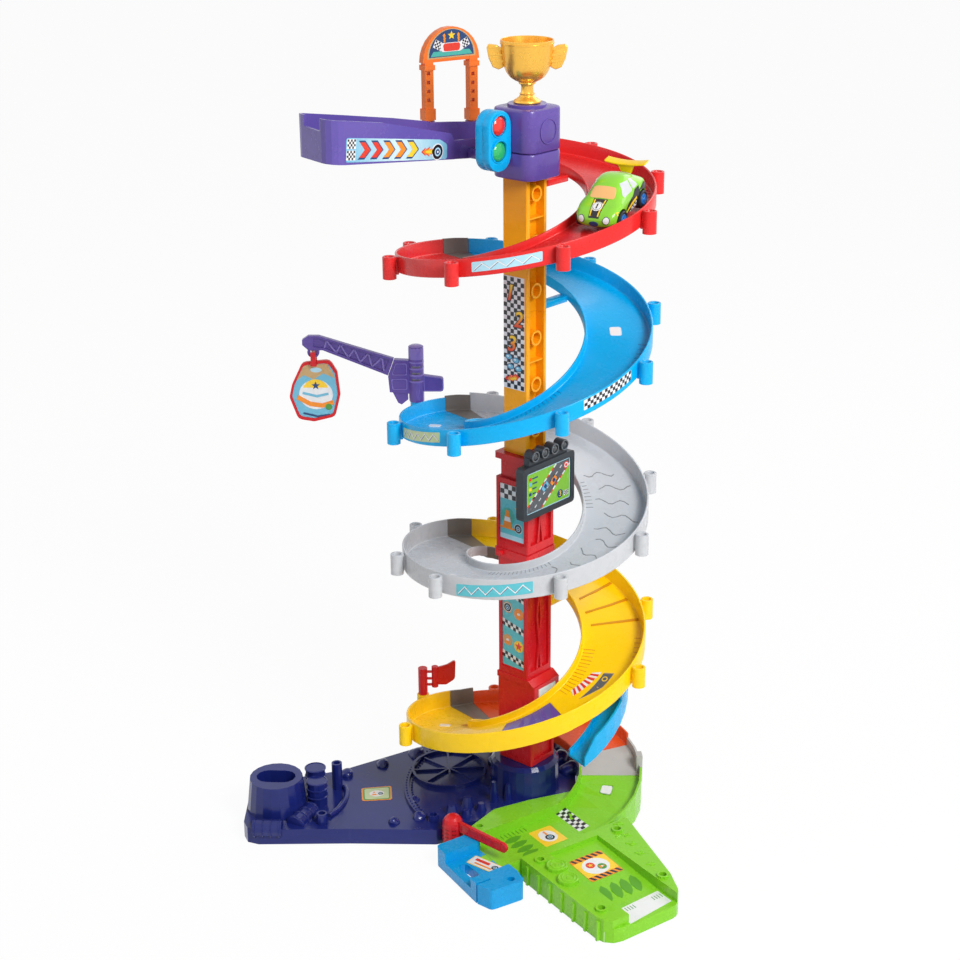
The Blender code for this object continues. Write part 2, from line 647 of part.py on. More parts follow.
def red_section(name, side, low, high, panel, bays):
    """One red column section: sticker panel at -Y, crossed braces at +X, open at -X."""
    half = side / 2
    section = block(name, (-half, half), (-half, half), (low, high), 0.0012, 1)
    rim = 0.0055
    edge = half - rim
    cut(section, box(name + "_panel", (-edge, -half - 0.002, panel[0]), (edge, -half + 0.0012, panel[1])))
    cut(section, box(name + "_recess", (half - 0.0035, -edge, panel[0]), (half + 0.002, edge, panel[1])))
    side = half - 0.0045
    corner = (half - 0.0065, side, high - 0.006)
    cut(section, box(name + "_hollow", (-half - 0.002, -side, low + 0.006), corner))
    width = side - 2 * rim + 0.001
    return join(section, *braces(name, half, panel[0] - 0.0005, panel[1] + 0.0005, width, bays))


def column_lower():
    section = red_section("column_lower", LOWER_SIDE, LEDGE_TOP + CLEAR, LOWER_TOP - 0.008, (0.178, 0.305), 2)
    half = MIDDLE_SIDE / 2 + 0.0015
    across = (-half, half)
    join(section, block("lower_flange", across, across, (LOWER_TOP - 0.010, LOWER_TOP), 0.002, 1))
    peg = Matrix.Translation((-0.014, -half, LOWER_TOP - 0.005)) @ Matrix.Rotation(math.pi / 2, 4, "X")
    join(section, drum("lower_peg", 0.0032, -0.002, 0.004, (0, 0), 10, None, peg))
    return part(section, "column_lower", "red")


def column_middle():
    section = red_section("column_middle", MIDDLE_SIDE, LOWER_TOP + CLEAR, 0.408, (0.334, 0.402), 1)
    half = 0.019
    join(section, block("middle_neck", (-half, half), (-half, half), (0.406, MIDDLE_TOP - 0.005), 0.001, 1))
    across = (-MIDDLE_SIDE / 2 - 0.001, MIDDLE_SIDE / 2 + 0.001)
    join(section, block("middle_lip", across, across, (MIDDLE_TOP - 0.007, MIDDLE_TOP), 0.002, 1))
    return part(section, "column_middle", "red")


def yellow_section(name, low, high):
    """Upper column: plain at -Y, a channel of rings and shelves at +X, open at -X."""
    half = UPPER_SIDE / 2
    flange = 0.0048
    section = block(name, (-half, half), (-half, half), (low, high), 0.001, 1)
    cut(section, box(name + "_channel", (half - 0.011, -half + flange, low - 0.001),
                     (half + 0.002, half - flange, high + 0.001)))
    cut(section, box(name + "_back", (-half - 0.002, -half + flange, low + 0.004),
                     (-half + 0.014, half - flange, high - 0.004)))
    heights = [RING_TOP - RING_PITCH * i for i in range(6)]
    lying = Matrix.Rotation(math.pi / 2, 4, "Y")
    shelves, rings, bores = bmesh.new(), bmesh.new(), bmesh.new()
    for height in heights:
        shelf = height - RING_PITCH / 2
        if low + 0.004 < shelf < high - 0.004:
            size = Matrix.Diagonal((0.0095, UPPER_SIDE - 2 * flange + 0.001, 0.0016, 1))
            middle = Matrix.Translation((half - 0.0065, 0, shelf))
            bmesh.ops.create_cube(shelves, size=1, matrix=middle @ size)
        if low + 0.008 < height < high - 0.008:
            spot = Matrix.Translation((0, 0, height)) @ lying
            add_drum(rings, 0.0085, half - 0.012, half - 0.0003, (0, 0), 16, None, spot)
            add_drum(bores, 0.0062, half - 0.0095, half + 0.002, (0, 0), 14, None, spot)
    join(section, from_bmesh(shelves, name + "_shelves"), from_bmesh(rings, name + "_rings"))
    cut(section, from_bmesh(bores, name + "_bores"))
    return part(section, name, "amber")


def head():
    half = HEAD_SIDE / 2
    x = (HEAD_SHIFT - half, HEAD_SHIFT + half)
    y = (-half, half)
    lower = block("head_lower", x, y, (UPPER_TOP + CLEAR, HEAD_SEAM - CLEAR / 2), HEAD_CORNER, 4)
    soften(lower, HEAD_EDGE, 2, 60)
    start = (-TRACK_IN - 0.0012 + CLEAR, -0.017, 0.7535)
    join(lower, box("tray_bracket", start, (x[0] + 0.002, -0.003, 0.7625)))
    part(lower, "head_lower", "purple")
    upper = block("head_upper", x, y, (HEAD_SEAM + CLEAR / 2, HEAD_TOP), HEAD_CORNER, 4)
    soften(upper, HEAD_EDGE, 2, 60)
    join(upper, drum("cup_seat", 0.0205, HEAD_TOP - 0.001, HEAD_TOP + 0.003, (HEAD_SHIFT, 0), 24))
    badge = Matrix.Translation((0, 0, 0.7905)) @ Matrix.Rotation(math.pi / 2, 4, "Y")
    join(upper, drum("blank_badge", 0.0132, x[1] - 0.001, x[1] + 0.0008, (0, 0), 24, None, badge))
    part(upper, "head_upper", "purple")


def light_pod():
    frame = across_x()
    y, z, round_edge = POD_WIDE / 2, (POD_LOW + POD_HIGH) / 2, 0.0165
    tall = (POD_HIGH - POD_LOW) / 2
    corners = [(POD_Y - y, z - tall), (POD_Y + y, z - tall), (POD_Y + y, z + tall), (POD_Y - y, z + tall)]
    pod = plate("light_pod", [rounded(corners, round_edge, 5)], POD_BACK, POD_FRONT, frame)
    lying = Matrix.Rotation(math.pi / 2, 4, "Y")
    for height, name, colour in zip(LENS_Z, ("lens_red", "lens_green"), ("lamp_red", "lamp_green")):
        spot = Matrix.Translation((0, POD_Y - 0.002, height)) @ lying
        radius = LENS_RADIUS + RUNNING
        cut(pod, drum(name + "_bore", radius, -0.004, POD_FRONT + 0.004, (0, 0), 20, None, spot))
        cut(pod, drum(name + "_stem_bore", 0.003 + RUNNING, -0.010, 0, (0, 0), 10, None, spot))
        lens = drum(name, LENS_RADIUS, 0.0, POD_FRONT - 0.0008, (0, 0), 16, None, spot)
        dome = bmesh.new()
        bmesh.ops.create_uvsphere(dome, u_segments=16, v_segments=6, radius=LENS_RADIUS - 0.0001,
                                  matrix=spot @ Matrix.Translation((0, 0, POD_FRONT - 0.0012))
                                  @ Matrix.Diagonal((1, 1, 0.42, 1)))
        join(lens, from_bmesh(dome, name + "_dome"))
        join(lens, drum(name + "_stem", 0.003, -0.006, 0.001, (0, 0), 10, None, spot))
        hinge(part(lens, name, colour), (0, POD_Y - 0.002, height))
    low = (POD_BACK + 0.003, POD_Y + y - 0.002, 0.762)
    join(pod, box("pod_seat", low, (POD_FRONT - 0.004, -HEAD_SIDE / 2 - CLEAR, 0.800)))
    return part(pod, "light_pod", "cyan")


def turned(name, profile, sides, spot):
    """A profile of (radius, height) turned about the upright axis through the spot."""
    mesh = bpy.data.meshes.new(name)
    mesh.from_pydata([(r, 0, z) for r, z in profile], [(i, i + 1) for i in range(len(profile) - 1)], [])
    made = tool_from(mesh, name)
    made.location = (spot[0], spot[1], 0)
    step = made.modifiers.new("turning", "SCREW")
    step.steps = sides
    step.render_steps = sides
    step.use_merge_vertices = True
    step.merge_threshold = 0.00001
    return made


def trophy():
    """Gold cup with ribbed wings for handles."""
    foot = HEAD_TOP + 0.003 + CLEAR
    inside = [(0, 0.0292), (0.0100, 0.0312), (0.0185, 0.0377), (0.0222, 0.0477), (0.0258, CUP_HEIGHT)]
    outside = [(CUP_RIM, CUP_HEIGHT), (0.0252, 0.0527), (0.0235, 0.0447), (0.0205, 0.0342),
               (0.0145, 0.0257), (0.0080, 0.0215), (0.0066, 0.0192), (0.0066, 0.0082), (0.0088, 0.0047),
               (0.0135, 0.0025), (0.0140, 0), (0, 0)]
    cup = turned("trophy", [(r, foot + h) for r, h in inside + outside], 22, (HEAD_SHIFT, 0))
    wing = [(0.0195, 0.0377), (0.030, 0.0342), (0.0365, 0.0377), (0.0400, 0.0467), (0.0415, 0.0577),
            (0.0390, 0.0602), (0.031, 0.0592), (0.0225, 0.0560)]
    middle = Matrix.Translation((HEAD_SHIFT, 0, foot)) @ Matrix.Rotation(math.radians(40), 4, "Z")
    for sign in (-1, 1):
        outline = wing if sign > 0 else [(-x, z) for x, z in reversed(wing)]
        join(cup, plate("wing", [outline], -0.003, 0.003, middle @ UPRIGHT))
    return part(cup, "trophy", "gold")


def bend_floor(angle):
    """The tray's bend falls as steeply as the red track that it runs on to."""
    return track_floor(TRAY_END) + (track_floor(TRAY_END) - track_floor(TRAY_END + 1)) * (TRAY_END - angle)


def tray_floor(y):
    return bend_floor(-90) - TRAY_SLOPE * y


def launch_tray():
    """Purple tray that the cars start from, straight and then curving on to the red track."""
    frame = across_x()
    far = -0.240

    def above(y, height):
        return y, tray_floor(y) + height

    rim = [above(far, 0.0415), above(-0.194, 0.0405), above(-0.130, 0.0370), above(-0.054, 0.0324),
           above(0.004, 0.0275)]
    low = [above(0.004, -FLOOR), above(far, -FLOOR)]
    corners = [(-TRACK_OUT, TRAY_END_Y[0]), (-TRACK_IN, TRAY_END_Y[1]), (-TRACK_IN, 0.0), (-TRACK_OUT, 0.0)]
    tray = plate("launch_tray", [rounded(corners, [0.018, 0.014, 0, 0], 4)], 0.70, 0.84)
    boolean(tray, plate("tray_side", [rim + low], -0.15, -0.05, frame), "INTERSECT")
    inner, outer = -TRACK_IN - WALL, -TRACK_OUT + WALL
    inside = [(outer, TRAY_END_Y[0] + 0.0015), (inner, TRAY_END_Y[1] + 0.003), (inner, 0.02), (outer, 0.02)]
    lane = plate("tray_lane", [rounded(inside, [0.016, 0.012, 0, 0], 4)], 0.70, 0.85)
    air = [above(far, 0), above(0.03, 0), (0.03, 0.85), (far, 0.85)]
    boolean(lane, plate("lane_side", [air], -0.15, -0.05, frame), "INTERSECT")
    cut(tray, lane)
    near = [above(-0.165, 0.0415), above(-0.138, 0.0370), above(-0.042, 0.0245), above(-0.0375, 0.0170),
            above(0.010, 0.0185), (0.010, 0.84), (-0.165, 0.84)]
    cut(tray, plate("near_rim", [near], inner - 0.001, inner + WALL + 0.004, frame))
    cut(tray, box("tray_notch", (-0.118, -0.240, 0.8065), (-0.085, -0.187, 0.84)))
    cut(tray, box("near_step", (-TRACK_IN - 0.0012, -0.0375, 0.70), (-TRACK_IN + 0.002, 0.010, 0.85)))
    bend = [(TRACK_IN, 0.018), (TRACK_IN + WALL, 0.018), (TRACK_IN + WALL, 0), (TRACK_OUT - WALL, 0),
            (TRACK_OUT - WALL, BEND_WALL), (TRACK_OUT, BEND_WALL), (TRACK_OUT, -FLOOR), (TRACK_IN, -FLOOR)]
    curve = sweep("tray_bend", bend, -90.6, TRAY_END - END_GAP, floor=bend_floor, step=6)
    join(tray, curve)
    webs, bars, bores = bmesh.new(), bmesh.new(), bmesh.new()
    for angle in GATE_ANGLES:
        frame_here = radial(angle, bend_floor(angle) + BEND_WALL)
        size = Matrix.Diagonal((POST_RING - TRACK_OUT, WEB, 0.018, 1))
        middle = Matrix.Translation(((POST_RING + TRACK_OUT) / 2 - 0.001, 0, -0.0115))
        bmesh.ops.create_cube(webs, size=1, matrix=frame_here @ middle @ size)
        add_drum(bars, POST_RADIUS + 0.0004, -0.024, 0, (POST_RING, 0), 14, None, frame_here)
        add_drum(bores, POST_BORE, -0.026, 0.004, (POST_RING, 0), 14, None, frame_here)
    join(tray, from_bmesh(webs, "gate_webs"), from_bmesh(bars, "gate_sockets"))
    cut(tray, from_bmesh(bores, "gate_bores"))
    return part(tray, "launch_tray", "purple")


def start_gate():
    """Orange arch on two square posts, with a half-round sign panel."""
    feet = [polar(a, POST_RING, bend_floor(a) + BEND_WALL) for a in GATE_ANGLES]
    middle = (feet[0] + feet[1]) / 2
    along = (feet[1] - feet[0]).to_2d()
    half = along.length / 2
    turn = Matrix.Translation((middle.x, middle.y, 0)) @ Matrix.Rotation(math.atan2(along.y, along.x), 4, "Z")
    upright = turn @ UPRIGHT
    radius, base = 0.036, 0.8415
    sign = arc((0, base), radius, 0, 180, 14)
    gate = plate("start_gate", [sign], -0.004, 0.004, upright)
    window = arc((0, base + 0.004), radius - 0.0055, 4, 176, 12)
    cut(gate, plate("sign_seat", [window], -0.006, -0.0025, upright))
    for side, foot in zip((-1, 1), feet):
        x = side * half
        low = foot.z + CLEAR
        for kind, half_x, half_y, start, end in (("post", 0.0052, 0.0042, low, base + 0.006),
                                                 ("collar", 0.0066, 0.0056, low + 0.001, low + 0.013),
                                                 ("cap", 0.0066, 0.0056, base - 0.008, base - 0.0025)):
            corner = (x + half_x, half_y, end)
            join(gate, box("gate_" + kind, (x - half_x, -half_y, start), corner, turn))
        join(gate, drum("gate_pin", POST_BORE - CLEAR, low - 0.016, low + 0.002, (x, 0), 12, None, turn))
        holes = bmesh.new()
        for i in range(4):
            height = low + 0.0225 + 0.0095 * i
            spot = Matrix.Translation((x - 0.0012, 0, height)) @ Matrix.Diagonal((0.004, 0.020, 0.0038, 1))
            bmesh.ops.create_cube(holes, size=1, matrix=turn @ spot)
        cut(gate, from_bmesh(holes, "post_holes"))
    return part(gate, "start_gate", "orange_red")


def crane_frame():
    """Origin on the crane's mast, X out along the jib, Z up."""
    spot = polar(CRANE_ANGLE, POST_RING)
    return Matrix.Translation(spot) @ Matrix.Rotation(math.radians(CRANE_HEADING), 4, "Z")


def crane():
    """Purple crane: a mast that turns in a track post, with a panel, a tail and a jib."""
    frame = crane_frame()
    top = post_top(CRANE_ANGLE, LOW_WALL) + CLEAR
    upright = frame @ UPRIGHT
    mast = drum("crane_mast", 0.0085, top, top + 0.064, (0, 0), 12, None, frame)
    low = top - POST_HEIGHT + 0.001
    join(mast, drum("mast_pin", POST_BORE - RUNNING, low, top + 0.002, (0, 0), 14, None, frame))
    slots = bmesh.new()
    for i in range(3):
        spot = Matrix.Translation((0, 0, top + 0.026 + 0.0075 * i))
        size = Matrix.Diagonal((0.0100, 0.030, 0.003, 1))
        bmesh.ops.create_cube(slots, size=1, matrix=frame @ spot @ size)
    cut(mast, from_bmesh(slots, "mast_slots"))
    tail = [(-0.0305, top + 0.0115), (-0.006, top + 0.0115), (-0.006, top + 0.031), (-0.0305, top + 0.0275)]
    tail = rounded(tail, [0.003, 0, 0, 0.003], 2)
    panel = [(0.006, top + 0.009), (0.030, top + 0.011), (0.0315, top + 0.030), (0.0245, top + 0.049),
             (0.006, top + 0.048)]
    foot = [(0.010, top + 0.012), (0.0095, top + 0.002), (0.017, top - 0.004), (0.021, top - 0.002),
            (0.028, top + 0.013)]
    join(mast, plate("tail", [tail], -JIB_HALF, JIB_HALF, upright))
    join(mast, plate("panel", [panel], -JIB_HALF - 0.001, JIB_HALF + 0.001, upright))
    join(mast, plate("panel_foot", [foot], -JIB_HALF + 0.0005, JIB_HALF - 0.0005, upright))
    hinge(part(mast, "crane_mast", "purple"), frame.translation)
    join_x = 0.0245 + CLEAR
    tip = HOOK_X + 0.012
    outline = [(0.0318, top + 0.0305), (tip - 0.0225, top + 0.060), (tip - 0.0065, top + 0.060),
               (tip, top + 0.066), (tip, top + 0.072), (tip - 0.0065, top + 0.0765),
               (tip - 0.0185, top + 0.0765), (join_x, top + 0.050)]
    jib = plate("crane_jib", [outline], -JIB_HALF, JIB_HALF, upright)
    pocket = [(0.036, top + 0.035), (tip - 0.0245, top + 0.0625), (tip - 0.0125, top + 0.0635),
              (tip - 0.0125, top + 0.0735), (tip - 0.0195, top + 0.0735), (0.030, top + 0.0485)]
    cut(jib, plate("jib_pocket", [pocket], JIB_HALF - 0.0018, 0.01, upright))
    cut(jib, plate("jib_pocket_back", [pocket], -0.01, -JIB_HALF + 0.0018, upright))
    lug = arc((HOOK_X, top + HOOK_RISE), 0.0068, 150, 390, 10)
    join(jib, plate("hook", [lug], -JIB_HALF + 0.0006, JIB_HALF - 0.0006, upright))
    low = (HOOK_X - 0.0035, -0.02, top + HOOK_RISE - 0.0030)
    cut(jib, box("hook_slot", low, (HOOK_X + 0.0035, 0.02, top + HOOK_RISE + 0.0020), frame))
    return hinge(part(jib, "crane_jib", "purple"), frame.translation)


def hanging_sign():
    """Flat sign with a raised rim that swings on the jib's hook by its loop."""
    frame = crane_frame()
    top = post_top(CRANE_ANGLE, LOW_WALL) + CLEAR
    upright = frame @ UPRIGHT
    hang = top + HOOK_RISE - 0.0010
    x = HOOK_X
    edge = [(x - 0.018, hang - 0.008), (x + 0.013, hang - 0.011), (x + 0.0255, hang - 0.037),
            (x + 0.0290, hang - 0.052), (x + 0.0200, hang - 0.078), (x + 0.002, hang - 0.081),
            (x - 0.0220, hang - 0.075), (x - 0.0285, hang - 0.049), (x - 0.0260, hang - 0.022)]
    outline = rounded(edge, 0.007, 2)
    sign = plate("hanging_sign", [outline], -0.002, 0.002, upright)
    inner = Vector((x, hang - 0.045))
    field = [tuple(inner + (Vector(p) - inner) * 0.90) for p in outline]
    cut(sign, plate("sign_field", [field], 0.0012, 0.004, upright))
    cut(sign, plate("sign_field_back", [field], -0.004, -0.0012, upright))
    loop = [(x - 0.0022, hang - 0.0012), (x + 0.0022, hang - 0.0012), (x + 0.0022, hang + 0.0012),
            (x - 0.0022, hang + 0.0012)]
    join(sign, plate("sign_pin", [loop], -0.0062, 0.0062, upright))
    for side in (-1, 1):
        y = (0.0044, 0.0062) if side > 0 else (-0.0062, -0.0044)
        low, high = (x - 0.0030, y[0], hang - 0.0135), (x + 0.0030, y[1], hang + 0.0016)
        join(sign, box("sign_ear", low, high, frame))
    low, high = (x - 0.0035, -0.0062, hang - 0.0145), (x + 0.0035, 0.0062, hang - 0.0110)
    join(sign, box("sign_bridge", low, high, frame))
    return hinge(part(sign, "hanging_sign", "red"), frame @ Vector((x, 0, hang)))


def flag():
    """Red flag: its post turns in a track post, with a second post and the cloth plate."""
    spot = polar(FLAG_ANGLE, POST_RING)
    frame = Matrix.Translation(spot) @ Matrix.Rotation(math.radians(40), 4, "Z")
    top = post_top(FLAG_ANGLE, HIGH_WALL) + CLEAR
    upright = frame @ UPRIGHT
    post = drum("flag_post", 0.0056, top, top + 0.034, (0, 0), 12, None, frame)
    low = top - POST_HEIGHT + 0.001
    join(post, drum("flag_pin", POST_BORE - RUNNING, low, top + 0.002, (0, 0), 14, None, frame))
    join(post, drum("flag_second_post", 0.0040, top + 0.0095, top + 0.036, (0.0145, 0), 12, None, frame))
    for height in (0.011, 0.019, 0.028):
        low = top + height
        join(post, box("flag_rung", (0.004, -0.0015, low), (0.0115, 0.0015, low + 0.0022), frame))
    cloth = [(0.0178, top + 0.0125), (0.028, top + 0.0125), (0.0385, top + 0.0200), (0.0395, top + 0.0455),
             (0.029, top + 0.0385), (0.0178, top + 0.0350)]
    outline = rounded(cloth, [0, 0.004, 0.006, 0.002, 0.004, 0], 2)
    join(post, plate("flag_cloth", [outline], -0.0014, 0.0014, upright))
    return hinge(part(post, "flag", "red"), spot)


def scoreboard():
    """Dark board on the column's +X face with four round lamps along its top."""
    back = MIDDLE_SIDE / 2 + 0.0013
    front = back + 0.0105
    frame = across_x()
    half, low, high = 0.0438, 0.373, 0.434
    outline = rounded([(-half, low), (half, low), (half, high), (-half, high)], 0.004, 2)
    board = plate("scoreboard", [outline], back, front, frame)
    half, low = half - 0.006, low + 0.006
    field = rounded([(-half, low), (half, low), (half, high - 0.007), (-half, high - 0.007)], 0.003, 2)
    cut(board, plate("board_field", [field], front - 0.0015, front + 0.01, frame))
    bar = [(-LAMP_STEP * 2, high - 0.003), (LAMP_STEP * 2, high - 0.003), (LAMP_STEP * 1.9, LAMP_HEIGHT),
           (-LAMP_STEP * 1.9, LAMP_HEIGHT)]
    join(board, plate("lamp_bar", [rounded(bar, 0.002, 1)], back + 0.0012, front - 0.002, frame))
    part(board, "scoreboard", "charcoal")
    lying = Matrix.Rotation(math.pi / 2, 4, "Y")
    for i in range(4):
        spot = Matrix.Translation((0, LAMP_STEP * (i - 1.5), LAMP_HEIGHT)) @ lying
        seat = drum("lamp_seat", LAMP_RADIUS + CLEAR, back - 0.002, front + 0.01, (0, 0), 14, None, spot)
        cut(board, seat)
        name = "lamp_%d" % (i + 1)
        lamp = drum(name, LAMP_RADIUS, back + 0.0004, front + 0.0013, (0, 0), 14, None, spot)
        low, dish = front - 0.0003, LAMP_RADIUS - 0.002
        cut(lamp, drum("lamp_dish", dish, low, low + 0.003, (0, 0), 14, dish + 0.0005, spot))
        part(lamp, name, "charcoal")


def exit_ramp():
    """Orange-red quarter turn from the last clip to the green exit."""
    start = JOINT_ANGLE + 1080 + JOINT_HALF + END_GAP
    ramp = sweep("exit_ramp", channel(LOW_WALL), start, RAMP_END - END_GAP)
    posts("exit_ramp", ramp, [1385], LOW_WALL)
    return part(ramp, "exit_ramp", "orange_red")


def exit_clip():
    """Grey clip from the orange ramp to the green exit, with an upright block outside."""
    body = sweep("exit_clip", channel(0.010, 0.007), RAMP_END, EXIT_START, step=8)
    frame = radial(EXIT_START - 5, track_floor(EXIT_START))
    corner = (TRACK_OUT + 0.001, 0.006, 0.022)
    join(body, box("clip_block", (TRACK_OUT - 0.006, -0.006, -0.012), corner, frame))
    return part(body, "exit_clip", "taupe")


def chute_floor(angle):
    share = (angle - CHUTE_START) / (CHUTE_END - CHUTE_START)
    return CHUTE_FLOORS[0] + (CHUTE_FLOORS[1] - CHUTE_FLOORS[0]) * share


def side_chute():
    """Cyan slide that hangs under the yellow track and comes out over the exit."""
    inner, outer = CHUTE_IN, CHUTE_OUT
    outline = [(inner, 0.006), (inner + 0.0022, 0.006), (inner + 0.0022, 0), (outer - 0.0024, 0),
               (outer - 0.0024, 0.024), (outer, 0.024), (outer, -0.0024), (inner, -0.0024)]
    chute = sweep("side_chute", outline, CHUTE_START, CHUTE_END, floor=chute_floor, step=8)
    tip = radial(CHUTE_END)
    side = Matrix(((0, 0, 1, 0), (-1, 0, 0, 0), (0, 1, 0, 0), (0, 0, 0, 1)))
    slant = tip @ Matrix.Translation((0, 0, chute_floor(CHUTE_END))) @ side
    taper = [(0.004, 0.0015), (0.004, 0.060), (-0.034, 0.060)]
    cut(chute, plate("chute_taper", [taper], outer - 0.006, outer + 0.006, slant))

    def hanger_floor(angle):
        return track_floor(1080 + angle) - FLOOR - HANGER_GAP

    tall = [(outer - 0.0021, -0.050), (outer - 0.0003, -0.050), (outer - 0.0003, 0), (outer - 0.0021, 0)]
    join(chute, sweep("chute_hanger", tall, CHUTE_START + 1, CHUTE_START + 38, floor=hanger_floor, step=5))
    return part(chute, "side_chute", "cyan")


def flap_opening(track):
    """Cuts the opening for the flap through the yellow floor."""
    inner, outer = FLAP_IN - FLAP_GAP, FLAP_OUT + FLAP_GAP
    hole = [(inner, 0.004), (outer, 0.004), (outer, -0.010), (inner, -0.010)]
    start, end = FLAP_START - FLAP_TURN_GAP, FLAP_END + FLAP_TURN_GAP
    return cut(track, sweep("flap_hole", hole, start, end, step=8))


def diverter_flap():
    """Purple flap in the yellow floor, hinged at its upper edge."""
    outline = [(FLAP_IN, 0), (FLAP_OUT, 0), (FLAP_OUT, -FLOOR + 0.0002), (FLAP_IN, -FLOOR + 0.0002)]
    body = sweep("diverter_flap", outline, FLAP_START, FLAP_END, step=8)
    return hinge(part(body, "diverter_flap", "purple"), (0, 0, track_floor(FLAP_START) - FLOOR / 2))


def plate_outline(radius, grow, top):
    """A plate's upright section: it lies in a seat in the track floor."""
    inner, outer = radius - PLATE_HALF - grow, radius + PLATE_HALF + grow
    low = -PLATE_DEPTH - grow
    return [(inner, top), (outer, top), (outer, low), (inner, low)]


def location_plate(number, track, angle, radius):
    """Small white plate let into the track's floor, in a seat that fits it."""
    name = "location_plate_%d" % number
    reach = PLATE_TURN + math.degrees(2 * CLEAR / radius)
    seat = plate_outline(radius, CLEAR, 0.004)
    cut(track, sweep(name + "_seat", seat, angle - reach, angle + reach, step=5))
    body = sweep(name, plate_outline(radius, 0, PLATE_LIFT), angle - PLATE_TURN, angle + PLATE_TURN, step=5)
    return part(body, name, "white")


def foot_plate():
    """White blank plate in the foot block's +X face."""
    low = (BLOCK_REACH - 0.001 + CLEAR, -0.015 + CLEAR, 0.122 + CLEAR)
    high = (BLOCK_REACH + 0.0002, 0.015 - CLEAR, 0.160 - CLEAR)
    return part(box("foot_plate", low, high), "foot_plate", "white")


def car_frame():
    """Origin on the track floor under the car, X forwards down the track, Z square to the floor."""
    here = polar(CAR_ANGLE, TRACK_MID, track_floor(CAR_ANGLE))
    ahead = polar(CAR_ANGLE + 10, TRACK_MID, track_floor(CAR_ANGLE + 10))
    behind = polar(CAR_ANGLE - 10, TRACK_MID, track_floor(CAR_ANGLE - 10))
    x = (ahead - behind).normalized()
    y = Vector((0, 0, 1)).cross(x).normalized()
    z = x.cross(y)
    turn = Matrix((x, y, z)).transposed()
    lift = CLEAR
    for reach in AXLES:
        for across in (-TYRE_OUT, -TYRE_IN, TYRE_IN, TYRE_OUT):
            spot = here + turn @ Vector((reach, across, 0))
            angle = math.degrees(math.atan2(spot.x, spot.y))
            lift = max(lift, track_floor(angle) - spot.z + 0.0009)
    return Matrix.Translation(here + z * lift) @ turn.to_4x4()


def car():
    """Small rounded racing car that stands on the red track."""
    frame = car_frame()
    side = frame @ UPRIGHT
    shape = [(-0.042, 0.010), (-0.040, 0.0045), (0.040, 0.0045), (0.0445, 0.009), (0.044, 0.016),
             (0.036, 0.0225), (0.021, 0.027), (0.008, 0.0395), (-0.010, 0.043), (-0.024, 0.039),
             (-0.038, 0.029), (-CAR_TAIL, 0.020)]
    body = plate("car_body", [shape], -0.0235, 0.0235, side)
    soften(body, 0.0045, 2, 50)
    arches = bmesh.new()
    across = frame @ Matrix.Rotation(math.pi / 2, 4, "X")
    for x in AXLES:
        add_drum(arches, WHEEL_RADIUS + 0.0014, 0.0152, 0.030, (x, WHEEL_RADIUS), 16, None, across)
    for x in AXLES:
        add_drum(arches, WHEEL_RADIUS + 0.0014, -0.030, -0.0152, (x, WHEEL_RADIUS), 16, None, across)
    cut(body, from_bmesh(arches, "wheel_arches"))
    bores = bmesh.new()
    for x in AXLES:
        add_drum(bores, AXLE_RADIUS + RUNNING, -0.028, 0.028, (x, WHEEL_RADIUS), 10, None, across)
    cut(body, from_bmesh(bores, "axle_bores"))
    part(body, "car_body", "green")
    for x, name in zip(AXLES, ("front_axle", "rear_axle")):
        axle = drum(name, AXLE_RADIUS, -TYRE_IN - 0.001, TYRE_IN + 0.001, (x, WHEEL_RADIUS), 10, None, across)
        for low, high in ((TYRE_IN, TYRE_OUT), (-TYRE_OUT, -TYRE_IN)):
            join(axle, drum(name + "_wheel", WHEEL_RADIUS, low, high, (x, WHEEL_RADIUS), 16, None, across))
        hinge(part(axle, name, "rubber"), frame @ Vector((x, 0, WHEEL_RADIUS)))
    wing = [(-0.050, 0.0400), (-0.040, 0.0385), (-0.036, 0.0400), (-0.037, 0.0420), (-0.0505, 0.0425)]
    spoiler = plate("car_spoiler", [wing], -0.0225, 0.0225, side)
    for y in (-0.0135, 0.0115):
        low, high = (-CAR_TAIL - 0.001, y, 0.0220), (-CAR_TAIL - CLEAR, y + 0.002, 0.0405)
        join(spoiler, box("spoiler_strut", low, high, frame))
    low, high = (-CAR_TAIL - 0.0027, -0.0150, 0.0205), (-CAR_TAIL - 0.0001 - CLEAR, 0.0150, 0.0245)
    join(spoiler, box("spoiler_tab", low, high, frame))
    part(spoiler, "car_spoiler", "yellow")


